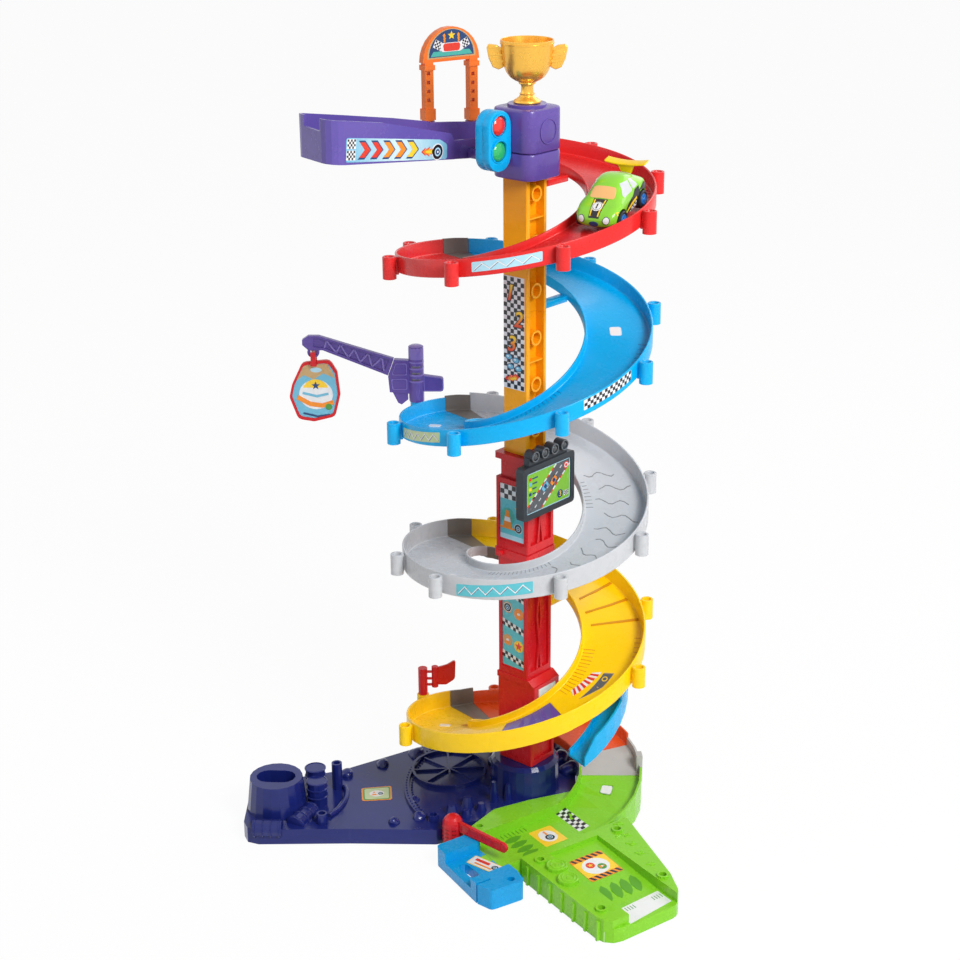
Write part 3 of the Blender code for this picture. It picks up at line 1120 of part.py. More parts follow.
def build():
    global PARTS, CUTTERS
    empty_scene()
    PARTS = collection("toy_car_tower")
    CUTTERS = collection("cutters")
    upper, middle, lower = UPPER_SIDE / 2, MIDDLE_SIDE / 2, LOWER_SIDE / 2
    navy_base()
    green = exit_track()
    green_ramp()
    exit_adapter()
    barrier()
    column_foot()
    foot_plate()
    column_lower()
    column_middle()
    yellow_section("column_upper_1", MIDDLE_TOP + CLEAR, UPPER_SPLIT)
    yellow_section("column_upper_2", UPPER_SPLIT + CLEAR, UPPER_TOP)
    level("track_red", "red", 0, LOW_WALL, TRAY_END, upper)
    blue = level("track_blue", "cyan", 1, LOW_WALL, None, upper)
    grey = level("track_grey", "grey", 2, HIGH_WALL, None, middle)
    yellow = flap_opening(level("track_yellow", "yellow", 3, HIGH_WALL, None, lower))
    spots = ((blue, 407, 0.0975), (blue, 599, 0.1003), (grey, 911.7, 0.1027), (yellow, 1315, 0.0936),
             (green, 1505, 0.0980))
    for i, (track, angle, radius) in enumerate(spots):
        location_plate(i + 1, track, angle, radius)
    for i, wall in enumerate((LOW_WALL + 0.0005, LOW_WALL + 0.002, HIGH_WALL, HIGH_WALL)):
        connector("track_clip_%d" % (i + 1), i, wall)
    exit_ramp()
    exit_clip()
    side_chute()
    diverter_flap()
    head()
    light_pod()
    trophy()
    launch_tray()
    start_gate()
    crane()
    hanging_sign()
    flag()
    scoreboard()
    car()


build()
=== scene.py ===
"""Toy car tower as it looks: turns of moulded track round a square column, on a rocky base."""
import math

import bmesh
import bpy
from mathutils import Matrix, Vector, noise
from mathutils.bvhtree import BVHTree


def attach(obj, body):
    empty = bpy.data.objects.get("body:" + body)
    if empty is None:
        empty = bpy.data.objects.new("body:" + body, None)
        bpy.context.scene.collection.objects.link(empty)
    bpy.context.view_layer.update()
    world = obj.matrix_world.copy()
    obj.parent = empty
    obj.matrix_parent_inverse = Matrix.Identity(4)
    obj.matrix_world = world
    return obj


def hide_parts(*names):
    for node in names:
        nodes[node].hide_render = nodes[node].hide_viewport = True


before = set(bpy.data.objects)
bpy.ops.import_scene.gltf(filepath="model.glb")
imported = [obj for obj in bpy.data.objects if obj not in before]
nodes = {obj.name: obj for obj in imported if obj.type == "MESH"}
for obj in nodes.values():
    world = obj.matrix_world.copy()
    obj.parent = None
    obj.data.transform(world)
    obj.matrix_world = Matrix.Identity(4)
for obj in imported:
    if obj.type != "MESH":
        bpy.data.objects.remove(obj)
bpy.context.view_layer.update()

TRACK_IN = 0.064
TRACK_OUT = 0.137
TRACK_MID = (TRACK_IN + TRACK_OUT) / 2
WALL = 0.0024
FLOOR = 0.0026
INNER_WALL = 0.009
LOW_WALL = 0.016
HIGH_WALL = 0.021
POST_RING = 0.1455
POST_RADIUS = 0.0073
POST_BORE = 0.0046
POST_HEIGHT = 0.0235
JOINTS = (285, 645, 1005, 1365)
# Stages: first and last angle, height of the floor at each, and the bump and the lag of its slope
RED_STAGE = (-52, 285, 0.745, 0.631, -0.012, 0.055)
BLUE_STAGE = (285, 645, 0.631, 0.446, 0.057, 0.065)
GREY_STAGE = (645, 1005, 0.446, 0.29, 0.21, 0.0)
YELLOW_STAGE = (1005, 1365, 0.29, 0.065, 0.028, 0.018)
ORANGE_STAGE = (1365, 1471, 0.065, 0.038, 0.06, 0.0)
CLIP_STAGE = (1471, 1484, 0.038, 0.033, 0.0, 0.0)
GREEN_STAGE = (1484, 1545, 0.033, 0.012, 0.0, 0.0)
STAGES = (RED_STAGE, BLUE_STAGE, GREY_STAGE, YELLOW_STAGE, ORANGE_STAGE, CLIP_STAGE, GREEN_STAGE)
BASE_TURN = math.radians(-15)
CLOCK = math.radians(1)
RIPPLE = 0.0002
CLIP_REACH = 7.25
CRANE_POST = 623
BASE_TOP = 0.019
LANE_TOP = 0.0118
RAMP_START = 0.149
RAMP_HEIGHT = 0.022
RAMP_SLOPE = math.atan2(0.007, 0.1065)
HEAD_X = 0.003
LIGHT_Y = -0.0478
LIGHT_HEIGHTS = (0.7995, 0.7735)
CUP_FOOT = 0.8135 + 0.0033
CUP_TURN = math.radians(40)
CAR_ANGLE = 77
AXLES = (0.0245, -0.0255)
WHEEL_HEIGHT = 0.0095
UPRIGHT = Matrix(((1, 0, 0, 0), (0, 0, -1, 0), (0, 1, 0, 0), (0, 0, 0, 1)))
FACING_X = Matrix(((0, 0, 1, 0), (1, 0, 0, 0), (0, 1, 0, 0), (0, 0, 0, 1)))
BASE_FRAME = Matrix.Rotation(BASE_TURN, 4, "Z")


# Placing and converting

def shift(x, y, z):
    return Matrix.Translation((x, y, z))


def spin(angle, axis="Z"):
    return Matrix.Rotation(angle, 4, axis)


def held(name, data):
    """A new object in the scene that holds this mesh, curve, lamp or camera."""
    holder = bpy.data.objects.new(name, data)
    bpy.context.scene.collection.objects.link(holder)
    return holder


def plain(bm, name="solid"):
    """A plain mesh from a bmesh, which is freed."""
    mesh = bpy.data.meshes.new(name)
    bm.to_mesh(mesh)
    bm.free()
    return mesh


def evaluated(holder):
    """The plain mesh that an object's settings and modifiers make. The object is removed."""
    bpy.context.view_layer.update()
    graph = bpy.context.evaluated_depsgraph_get()
    made = bpy.data.meshes.new_from_object(holder.evaluated_get(graph))
    bpy.data.objects.remove(holder)
    return made


def welded(holder, gap, place=Matrix()):
    """The same as a bmesh, placed by a matrix, with points closer than the gap joined."""
    mesh = evaluated(holder)
    mesh.transform(place)
    bm = bmesh.new()
    bm.from_mesh(mesh)
    bmesh.ops.remove_doubles(bm, verts=bm.verts, dist=gap)
    return bm


def shrunk(outline, middle, share):
    """The outline drawn in towards a point."""
    return [tuple(middle + (Vector(p) - middle) * share) for p in outline]


# Camera, light and floor

def set_camera():
    lens = bpy.data.cameras.new("photo_view")
    lens.lens = 71.25
    lens.sensor_width = 36
    camera = held("photo_view", lens)
    camera.location = (1.258, -1.499, 1.153)
    camera.rotation_euler = (math.radians(69), 0, math.radians(40))
    lens.shift_x = -0.0469
    bpy.context.scene.camera = camera


def soft_lamp(name, spot, aim, size, watts):
    lamp = bpy.data.lights.new(name, "AREA")
    lamp.shape = "RECTANGLE"
    lamp.size, lamp.size_y = size
    lamp.energy = watts
    holder = held(name, lamp)
    holder.location = spot
    holder.rotation_euler = (Vector(aim) - Vector(spot)).to_track_quat("-Z", "Y").to_euler()


def add(tree, kind, inputs=None, **settings):
    """A node with its settings, and its sockets set to values or joined to other sockets."""
    made = tree.nodes.new(kind)
    for key, value in settings.items():
        setattr(made, key, value)
    for key, value in (inputs or {}).items():
        socket = made.inputs[key]
        if isinstance(value, bpy.types.NodeSocket):
            tree.links.new(value, socket)
        else:
            socket.default_value = value
    return made


def worked(tree, operation, *values, **settings):
    """The result of one step of arithmetic on values or sockets."""
    return add(tree, "ShaderNodeMath", dict(enumerate(values)), operation=operation, **settings).outputs[0]


def seen_directly(tree):
    """1 for what the camera sees, straight or by way of gloss or clear plastic."""
    path = add(tree, "ShaderNodeLightPath").outputs
    first = worked(tree, "MAXIMUM", path["Is Camera Ray"], path["Is Glossy Ray"])
    return worked(tree, "MAXIMUM", first, path["Is Transmission Ray"])


def set_world():
    world = bpy.data.worlds.new("white_room")
    world.use_nodes = True
    bpy.context.scene.world = world
    tree = world.node_tree
    tree.nodes.clear()
    room = add(tree, "ShaderNodeBackground", {"Color": (1, 1, 1, 1), "Strength": 0.3})
    white = add(tree, "ShaderNodeBackground", {"Color": (1, 1, 1, 1), "Strength": 1.0})
    mixed = add(tree, "ShaderNodeMixShader", {0: seen_directly(tree), 1: room.outputs[0],
                                              2: white.outputs[0]})
    add(tree, "ShaderNodeOutputWorld", {"Surface": mixed.outputs[0]})


def set_floor():
    bm = bmesh.new()
    bmesh.ops.create_grid(bm, x_segments=24, y_segments=24, size=24)
    mesh = plain(bm, "pale_floor")
    mesh.transform(shift(0, 0, -0.0004))
    floor = held("pale_floor", mesh)
    made = bpy.data.materials.new("pale_floor")
    made.use_nodes = True
    tree = made.node_tree
    tree.nodes.clear()
    spot = add(tree, "ShaderNodeTexCoord")
    cloud = add(tree, "ShaderNodeTexNoise", {"Vector": spot.outputs["Object"], "Scale": 3.0, "Detail": 2.0})
    tone = add(tree, "ShaderNodeMapRange", {"Value": cloud.outputs["Fac"], "To Min": 0.945, "To Max": 0.965})
    matt = add(tree, "ShaderNodeBsdfDiffuse", {"Color": tone.outputs[0]})
    glow = add(tree, "ShaderNodeEmission", {"Color": (1, 1, 1, 1), "Strength": 1.0})
    share = worked(tree, "MULTIPLY", seen_directly(tree), 0.95)
    mixed = add(tree, "ShaderNodeMixShader", {0: share, 1: matt.outputs[0], 2: glow.outputs[0]})
    add(tree, "ShaderNodeOutputMaterial", {"Surface": mixed.outputs[0]})
    mesh.materials.append(made)


# Finishes

def shader_group(name, inputs, outputs):
    tree = bpy.data.node_groups.new(name, "ShaderNodeTree")
    for label, kind, value in inputs:
        tree.interface.new_socket(label, in_out="INPUT",
                                  socket_type="NodeSocket" + kind).default_value = value
    for label, kind in outputs:
        tree.interface.new_socket(label, in_out="OUTPUT", socket_type="NodeSocket" + kind)
    return tree, tree.nodes.new("NodeGroupInput"), tree.nodes.new("NodeGroupOutput")


def moulded_skin():
    """Slow tone changes, flow marks and fine grain of moulded plastic."""
    tree, inside, out = shader_group("moulded_skin", [("Colour", "Color", (0.5, 0.5, 0.5, 1)),
                                                      ("Variation", "Float", 0.06), ("Gloss", "Float", 0.3),
                                                      ("Grain", "Float", 1400.0)],
                                     [("Colour", "Color"), ("Roughness", "Float"), ("Height", "Float")])
    spot = add(tree, "ShaderNodeTexCoord").outputs["Object"]
    cloud = add(tree, "ShaderNodeTexNoise", {"Vector": spot, "Scale": 17.0, "Detail": 3.0})
    stretched = add(tree, "ShaderNodeMapping", {"Vector": spot, "Scale": (9.0, 9.0, 70.0)})
    flow = add(tree, "ShaderNodeTexNoise", {"Vector": stretched.outputs[0], "Scale": 3.0, "Detail": 2.0})
    centred = worked(tree, "SUBTRACT", worked(tree, "ADD", cloud.outputs["Fac"], flow.outputs["Fac"]), 1.0)
    swing = worked(tree, "MULTIPLY", centred, inside.outputs["Variation"])
    value = worked(tree, "ADD", swing, 1.0)
    tinted = add(tree, "ShaderNodeHueSaturation", {"Value": value, "Color": inside.outputs["Colour"]})
    tree.links.new(tinted.outputs[0], out.inputs["Colour"])
    handled = add(tree, "ShaderNodeTexNoise", {"Vector": spot, "Scale": 55.0, "Detail": 4.0,
                                               "Roughness": 0.7})
    wear_and_sheen = add(tree, "ShaderNodeMapRange", {"Value": handled.outputs["Fac"], "From Min": 0.35,
                                            "From Max": 0.75, "To Min": -0.05, "To Max": 0.1})
    rough = worked(tree, "ADD", wear_and_sheen.outputs[0], inside.outputs["Gloss"])
    tree.links.new(rough, out.inputs["Roughness"])
    grain = add(tree, "ShaderNodeTexNoise", {"Vector": spot, "Scale": inside.outputs["Grain"], "Detail": 2.0})
    waves = add(tree, "ShaderNodeTexNoise", {"Vector": spot, "Scale": 90.0, "Detail": 1.0})
    height = worked(tree, "MULTIPLY_ADD", waves.outputs["Fac"], 0.8, grain.outputs["Fac"])
    tree.links.new(height, out.inputs["Height"])
    return tree


def edge_light():
    """Edges and rims are painted paler: partly a painted highlight where they catch light, partly rubbed
    wear.
    """
    tree, inside, out = shader_group("edge_light", [("Colour", "Color", (0.5, 0.5, 0.5, 1)),
                                                    ("Edge colour", "Color", (1, 1, 1, 1)),
                                                    ("Amount", "Float", 0.2)], [("Colour", "Color")])
    point = add(tree, "ShaderNodeNewGeometry").outputs["Pointiness"]
    spot = add(tree, "ShaderNodeTexCoord").outputs["Object"]
    patch = add(tree, "ShaderNodeTexNoise", {"Vector": spot, "Scale": 120.0, "Detail": 2.0})
    mask = add(tree, "ShaderNodeMapRange", {"Value": point, "From Min": 0.52, "From Max": 0.6})
    wear_and_sheen = worked(tree, "MULTIPLY", mask.outputs[0], patch.outputs["Fac"])
    share = worked(tree, "MULTIPLY", wear_and_sheen, inside.outputs["Amount"], use_clamp=True)
    mixed = add(tree, "ShaderNodeMix", {"Factor": share}, data_type="RGBA")
    tree.links.new(inside.outputs["Colour"], mixed.inputs[6])
    tree.links.new(inside.outputs["Edge colour"], mixed.inputs[7])
    tree.links.new(mixed.outputs[2], out.inputs["Colour"])
    return tree


SKIN = moulded_skin()
EDGES = edge_light()


def grouped(tree, group, inputs):
    return add(tree, "ShaderNodeGroup", inputs, node_tree=group)


def dressed_shader(name, skin_of, values, bump):
    """A new material whose colour, roughness and ripple come from a group of nodes."""
    made = bpy.data.materials.new(name)
    made.use_nodes = True
    tree = made.node_tree
    shader = tree.nodes["Principled BSDF"]
    skin = grouped(tree, skin_of, values)
    tree.links.new(skin.outputs["Colour"], shader.inputs["Base Color"])
    tree.links.new(skin.outputs["Roughness"], shader.inputs["Roughness"])
    ripple = add(tree, "ShaderNodeBump", {"Height": skin.outputs["Height"], "Strength": bump,
                                          "Distance": RIPPLE})
    tree.links.new(ripple.outputs[0], shader.inputs["Normal"])
    return made, tree, shader, skin


def plastic(name, colour, gloss=0.24, variation=0.1, grain=1400.0, bump=0.1, edge=0.14, metal=0.0, coat=0.08,
            subsurface=0.0):
    """Moulded plastic of one colour. Its numbers are shares, apart from the grain's scale."""
    values = {"Colour": (*colour, 1), "Variation": variation, "Gloss": gloss, "Grain": grain}
    made, tree, shader, skin = dressed_shader(name, SKIN, values, bump)
    # The paler edge colour is partly a painted highlight and partly rubbed wear.
    pale = tuple(min(1, c * 1.15 + 0.05) for c in colour)
    rim = grouped(tree, EDGES, {"Colour": skin.outputs["Colour"], "Edge colour": (*pale, 1), "Amount": edge})
    tree.links.new(rim.outputs["Colour"], shader.inputs["Base Color"])
    for socket, value in (("Metallic", metal), ("Coat Weight", coat), ("Coat Roughness", 0.12),
                          ("Specular IOR Level", 0.5 if metal > 0 else 0.26),
                          ("Subsurface Weight", subsurface), ("Subsurface Radius", (0.004, 0.003, 0.002)),
                          ("Subsurface Scale", 1.0)):
        shader.inputs[socket].default_value = value
    return made


FINISH = {
    "navy": plastic("navy_plastic", (0.01, 0.018, 0.155), gloss=0.2, variation=0.25, grain=320.0, bump=0.35,
                    edge=0.22, coat=0.22),
    "green": plastic("lime_plastic", (0.23, 0.6, 0.02), gloss=0.28),
    "cyan": plastic("cyan_plastic", (0.0, 0.4, 0.8), gloss=0.26),
    "adapter": plastic("adapter_plastic", (0.0, 0.32, 0.7), gloss=0.26),
    "red": plastic("red_plastic", (0.62, 0.012, 0.018), gloss=0.25),
    "track_red": plastic("track_red_plastic", (0.7, 0.022, 0.022), gloss=0.27),
    "orange_red": plastic("orange_plastic", (0.76, 0.085, 0.012), gloss=0.28),
    "gate": plastic("gate_plastic", (0.86, 0.18, 0.022), gloss=0.28),
    "amber": plastic("amber_plastic", (0.9, 0.37, 0.005), gloss=0.28),
    "yellow": plastic("yellow_plastic", (0.98, 0.62, 0.003), gloss=0.28),
    "grey": plastic("grey_plastic", (0.54, 0.55, 0.57), gloss=0.27, variation=0.06),
    "taupe": plastic("taupe_plastic", (0.2, 0.175, 0.15), gloss=0.34),
    "pale_clip": plastic("pale_clip_plastic", (0.47, 0.46, 0.44), gloss=0.34),
    "purple": plastic("violet_plastic", (0.115, 0.07, 0.33), gloss=0.24, coat=0.18),
    "lilac": plastic("lilac_plastic", (0.12, 0.082, 0.36), gloss=0.24, coat=0.18),
    "gold": plastic("gold_plastic", (0.9, 0.5, 0.075), gloss=0.24, metal=0.65, variation=0.05, bump=0.01),
    "charcoal": plastic("charcoal_plastic", (0.035, 0.042, 0.05), gloss=0.34, variation=0.2),
    "white": plastic("white_plastic", (0.82, 0.82, 0.81), gloss=0.22, subsurface=0.15),
    "lamp_red": plastic("red_lens", (0.75, 0.03, 0.02), gloss=0.1, coat=0.8, bump=0.03),
    "lamp_green": plastic("green_lens", (0.02, 0.45, 0.14), gloss=0.1, coat=0.8, bump=0.03),
    "car_green": plastic("car_green_plastic", (0.24, 0.62, 0.03), gloss=0.18, coat=0.5),
    "rubber": plastic("wheel_black", (0.022, 0.024, 0.03), gloss=0.42, edge=0.15),
    "hub_blue": plastic("hub_blue_plastic", (0.02, 0.16, 0.5), gloss=0.25),
    # A paler violet as painted highlight, for the crane's lattice, window frames and mast bands.
    "violet_highlight": plastic("violet_line_plastic", (0.22, 0.16, 0.5), gloss=0.24, coat=0.2),
    "steel": plastic("lamp_ring_plastic", (0.16, 0.17, 0.18), gloss=0.22),
    "smoke": plastic("lamp_glass", (0.06, 0.065, 0.07), gloss=0.08, coat=0.8, bump=0.02),
    "glass": plastic("window_print", (0.58, 0.6, 0.62), gloss=0.12, coat=0.6, bump=0.02),
    "windscreen": plastic("windscreen_plastic", (0.86, 0.46, 0.16), gloss=0.14, coat=0.6, bump=0.02),
    # The five darker finishes below are painted shade: thin raised lines in them stand in for the shade of
    # grooves cut into the plastic.
    "red_groove_shade": plastic("red_line_plastic", (0.33, 0.006, 0.006), gloss=0.35),
    "blue_groove_shade": plastic("blue_line_plastic", (0.0, 0.2, 0.48), gloss=0.35),
    "grey_groove_shade": plastic("grey_line_plastic", (0.24, 0.245, 0.25), gloss=0.35),
    "yellow_groove_shade": plastic("yellow_line_plastic", (0.62, 0.26, 0.002), gloss=0.35),
    "green_groove_shade": plastic("green_line_plastic", (0.09, 0.34, 0.012), gloss=0.35),
}


def print_skin():
    """Printed film: a faint halftone in the ink, and the film's own soft ripple."""
    tree, inside, out = shader_group("print_skin", [("Colour", "Color", (0.5, 0.5, 0.5, 1)),
                                                    ("Dots", "Float", 0.06)],
                                     [("Colour", "Color"), ("Roughness", "Float"), ("Height", "Float")])
    spot = add(tree, "ShaderNodeTexCoord").outputs["Object"]
    dots = add(tree, "ShaderNodeTexVoronoi", {"Vector": spot, "Scale": 2600.0})
    cloud = add(tree, "ShaderNodeTexNoise", {"Vector": spot, "Scale": 40.0, "Detail": 2.0})
    centred = worked(tree, "SUBTRACT", worked(tree, "ADD", dots.outputs["Distance"], cloud.outputs["Fac"]),
                     1.0)
    value = worked(tree, "MULTIPLY_ADD", centred, inside.outputs["Dots"], 1.0)
    tinted = add(tree, "ShaderNodeHueSaturation", {"Value": value, "Color": inside.outputs["Colour"]})
    tree.links.new(tinted.outputs[0], out.inputs["Colour"])
    rough = add(tree, "ShaderNodeMapRange", {"Value": cloud.outputs["Fac"], "To Min": 0.2, "To Max": 0.36})
    tree.links.new(rough.outputs[0], out.inputs["Roughness"])
    tree.links.new(cloud.outputs["Fac"], out.inputs["Height"])
    return tree


PRINT = print_skin()


def ink(name, colour):
    return dressed_shader(name, PRINT, {"Colour": (*colour, 1), "Dots": 0.07}, 0.08)[0]


INK = {
    "white": ink("ink_white", (0.8, 0.81, 0.82)), "black": ink("ink_black", (0.012, 0.013, 0.018)),
    "sky": ink("ink_sky", (0.16, 0.48, 0.66)), "pale_sky": ink("ink_pale_sky", (0.42, 0.68, 0.8)),
    "navy": ink("ink_navy", (0.012, 0.05, 0.16)), "teal": ink("ink_teal", (0.06, 0.42, 0.36)),
    "aqua": ink("ink_aqua", (0.1, 0.52, 0.6)), "red": ink("ink_red", (0.72, 0.04, 0.02)),
    "orange": ink("ink_orange", (0.88, 0.27, 0.02)), "yellow": ink("ink_yellow", (0.94, 0.62, 0.03)),
    "lime": ink("ink_lime", (0.22, 0.52, 0.04)), "leaf": ink("ink_leaf", (0.07, 0.3, 0.05)),
    "pale_green": ink("ink_pale_green", (0.52, 0.62, 0.34)), "slate": ink("ink_slate", (0.1, 0.11, 0.12)),
    "tan": ink("ink_tan", (0.55, 0.36, 0.16)),
}


def banded_ink(name, stops, axis, low, pitch):
    """Ink whose colour runs from one tone to the next along one axis, over and over at a pitch."""
    made = ink(name, (1, 1, 1))
    tree = made.node_tree
    spot = add(tree, "ShaderNodeTexCoord").outputs["Object"]
    parts = add(tree, "ShaderNodeSeparateXYZ", {0: spot})
    turns = worked(tree, "DIVIDE", worked(tree, "SUBTRACT", parts.outputs[axis], low), pitch)
    ramp = add(tree, "ShaderNodeValToRGB", {0: worked(tree, "FRACT", turns)})
    for end, (place, colour) in zip(ramp.color_ramp.elements, (stops[0], stops[-1])):
        end.position = place
        end.color = (*colour, 1)
    for place, colour in stops[1:-1]:
        ramp.color_ramp.elements.new(place).color = (*colour, 1)
    skin = next(node for node in tree.nodes if node.type == "GROUP")
    tree.links.new(ramp.outputs[0], skin.inputs["Colour"])
    return made


FIRE = banded_ink("ink_fire", ((0.02, (0.72, 0.02, 0.01)), (0.3, (0.9, 0.2, 0.01)),
                               (0.58, (0.95, 0.62, 0.03))), 2, 0.552, 0.028)
SKY = banded_ink("ink_sky_fade", ((0.0, (0.12, 0.42, 0.62)), (0.5, (0.62, 0.8, 0.86)),
                                  (1.0, (0.14, 0.48, 0.66))), 1, -0.2, 0.16)


# Heights of the running surface

def polar(angle, radius, height=0.0):
    """A point at an angle in degrees, clockwise from the Y axis as seen from above."""
    swing = angle * CLOCK
    return Vector((radius * math.sin(swing), radius * math.cos(swing), height))


def track_floor(angle):
    for start, end, high, low, bump, lag in STAGES:
        if angle <= end:
            share = max(0, (angle - start) / (end - start))
            eased = share + bump * math.sin(math.pi * share) ** 2 - lag * math.sin(2 * math.pi * share)
            return high + (low - high) * eased
    return GREEN_STAGE[3]


def bend_floor(angle):
    """The floor of the bend before the red turn, which carries the turn's first slope back."""
    start = RED_STAGE[0]
    slope = track_floor(start) - track_floor(start + 1)
    return track_floor(start) + slope * (start - angle)


# Trees of geometry nodes

def geometry_tree(name, inputs):
    """A new tree with these inputs and, last, the material of what it makes."""
    tree = bpy.data.node_groups.new(name, "GeometryNodeTree")
    tree.interface.new_socket("Geometry", in_out="INPUT", socket_type="NodeSocketGeometry")
    for label, kind, value in [*inputs, ("Surface", "Material", None)]:
        socket = tree.interface.new_socket(label, in_out="INPUT", socket_type="NodeSocket" + kind)
        if value is not None:
            socket.default_value = value
    tree.interface.new_socket("Geometry", in_out="OUTPUT", socket_type="NodeSocketGeometry")
    return tree, tree.nodes.new("NodeGroupInput"), tree.nodes.new("NodeGroupOutput")


def end_tree(tree, geometry, inside, out):
    """Every tree ends in real geometry that wears the surface it is given."""
    whole = add(tree, "GeometryNodeRealizeInstances", {"Geometry": geometry})
    dressed = add(tree, "GeometryNodeSetMaterial", {"Geometry": whole.outputs[0],
                                                    "Material": inside.outputs["Surface"]})
    tree.links.new(dressed.outputs[0], out.inputs[0])
    return tree


STAGE_INPUTS = [("Stage start", "Float", 0.0), ("Stage end", "Float", 360.0), ("High", "Float", 0.2),
                ("Low", "Float", 0.0), ("Bump", "Float", 0.0), ("Lag", "Float", 0.0)]


def floor_height_group():
    """Height of the running surface at an angle, easing in and out of each stage."""
    tree = bpy.data.node_groups.new("floor_height", "GeometryNodeTree")
    for label, kind, value in [("Angle", "Float", 0.0), *STAGE_INPUTS]:
        tree.interface.new_socket(label, in_out="INPUT",
                                  socket_type="NodeSocket" + kind).default_value = value
    tree.interface.new_socket("Height", in_out="OUTPUT", socket_type="NodeSocketFloat")
    inside, out = tree.nodes.new("NodeGroupInput"), tree.nodes.new("NodeGroupOutput")
    past = worked(tree, "SUBTRACT", inside.outputs["Angle"], inside.outputs["Stage start"])
    length = worked(tree, "SUBTRACT", inside.outputs["Stage end"], inside.outputs["Stage start"])
    share = worked(tree, "DIVIDE", past, length)
    half_wave = worked(tree, "SINE", worked(tree, "MULTIPLY", share, math.pi))
    bump = worked(tree, "MULTIPLY", worked(tree, "MULTIPLY", half_wave, half_wave), inside.outputs["Bump"])
    full_wave = worked(tree, "SINE", worked(tree, "MULTIPLY", share, 2 * math.pi))
    lag = worked(tree, "MULTIPLY", full_wave, inside.outputs["Lag"])
    eased = worked(tree, "SUBTRACT", worked(tree, "ADD", share, bump), lag)
    drop = worked(tree, "SUBTRACT", inside.outputs["Low"], inside.outputs["High"])
    height = worked(tree, "MULTIPLY_ADD", drop, eased, inside.outputs["High"])
    tree.links.new(height, out.inputs["Height"])
    return tree


FLOOR_HEIGHT = floor_height_group()


def floor_at(tree, inside, angle):
    made = tree.nodes.new("GeometryNodeGroup")
    made.node_tree = FLOOR_HEIGHT
    tree.links.new(angle, made.inputs["Angle"])
    for label, _, _ in STAGE_INPUTS:
        tree.links.new(inside.outputs[label], made.inputs[label])
    return made.outputs["Height"]


def turn_tree():
    """A closed section, drawn as radius and height, carried round the tower and down its slope."""
    tree, inside, out = geometry_tree("turn_of_track", [("Start angle", "Float", 0.0),
                                                        ("End angle", "Float", 90.0), ("Steps", "Int", 24),
                                                        *STAGE_INPUTS])
    section = add(tree, "GeometryNodeMeshToCurve", {"Mesh": inside.outputs["Geometry"]})
    place = add(tree, "GeometryNodeInputPosition").outputs[0]
    kept = add(tree, "GeometryNodeStoreNamedAttribute", {"Geometry": section.outputs[0], "Name": "place"},
               data_type="FLOAT_VECTOR", domain="POINT")
    tree.links.new(place, kept.inputs["Value"])
    line = add(tree, "GeometryNodeCurvePrimitiveLine", {"Start": (0, 0, 0), "End": (0, 1, 0)})
    count = worked(tree, "ADD", inside.outputs["Steps"], 1.0)
    path = add(tree, "GeometryNodeResampleCurve", {"Curve": line.outputs[0], "Count": count})
    along = add(tree, "GeometryNodeSplineParameter").outputs["Factor"]
    marked = add(tree, "GeometryNodeStoreNamedAttribute", {"Geometry": path.outputs[0], "Name": "share"},
                 data_type="FLOAT", domain="POINT")
    tree.links.new(along, marked.inputs["Value"])
    swept = add(tree, "GeometryNodeCurveToMesh", {"Curve": marked.outputs[0],
                                                  "Profile Curve": kept.outputs[0], "Fill Caps": True})
    share = add(tree, "GeometryNodeInputNamedAttribute", {"Name": "share"}, data_type="FLOAT")
    at = add(tree, "GeometryNodeInputNamedAttribute", {"Name": "place"}, data_type="FLOAT_VECTOR")
    parts = add(tree, "ShaderNodeSeparateXYZ", {0: at.outputs["Attribute"]})
    swing = worked(tree, "SUBTRACT", inside.outputs["End angle"], inside.outputs["Start angle"])
    angle = worked(tree, "MULTIPLY_ADD", share.outputs["Attribute"], swing, inside.outputs["Start angle"])
    radians = worked(tree, "RADIANS", angle)
    east = worked(tree, "MULTIPLY", parts.outputs["X"], worked(tree, "SINE", radians))
    north = worked(tree, "MULTIPLY", parts.outputs["X"], worked(tree, "COSINE", radians))
    up = worked(tree, "ADD", parts.outputs["Y"], floor_at(tree, inside, angle))
    spot = add(tree, "ShaderNodeCombineXYZ", {"X": east, "Y": north, "Z": up})
    carried = add(tree, "GeometryNodeSetPosition", {"Geometry": swept.outputs[0],
                                                    "Position": spot.outputs[0]})
    return end_tree(tree, carried.outputs[0], inside, out)


def row_tree():
    """Copies of one small piece set round the tower at equal angles, each at its floor height."""
    tree, inside, out = geometry_tree("row_round_the_tower",
                                      [("First angle", "Float", 0.0), ("Step angle", "Float", 45.0),
                                       ("Count", "Int", 8), *STAGE_INPUTS])
    line = add(tree, "GeometryNodeMeshLine", {"Count": inside.outputs["Count"], "Offset": (0, 0, 0)})
    index = add(tree, "GeometryNodeInputIndex").outputs[0]
    angle = worked(tree, "MULTIPLY_ADD", index, inside.outputs["Step angle"], inside.outputs["First angle"])
    spot = add(tree, "ShaderNodeCombineXYZ", {"Z": floor_at(tree, inside, angle)})
    placed = add(tree, "GeometryNodeSetPosition", {"Geometry": line.outputs[0], "Position": spot.outputs[0]})
    facing = worked(tree, "RADIANS", worked(tree, "SUBTRACT", 90.0, angle))
    swing = add(tree, "ShaderNodeCombineXYZ", {"Z": facing})
    copies = add(tree, "GeometryNodeInstanceOnPoints", {"Points": placed.outputs[0],
                                                        "Instance": inside.outputs["Geometry"]})
    tree.links.new(swing.outputs[0], copies.inputs["Rotation"])
    return end_tree(tree, copies.outputs[0], inside, out)


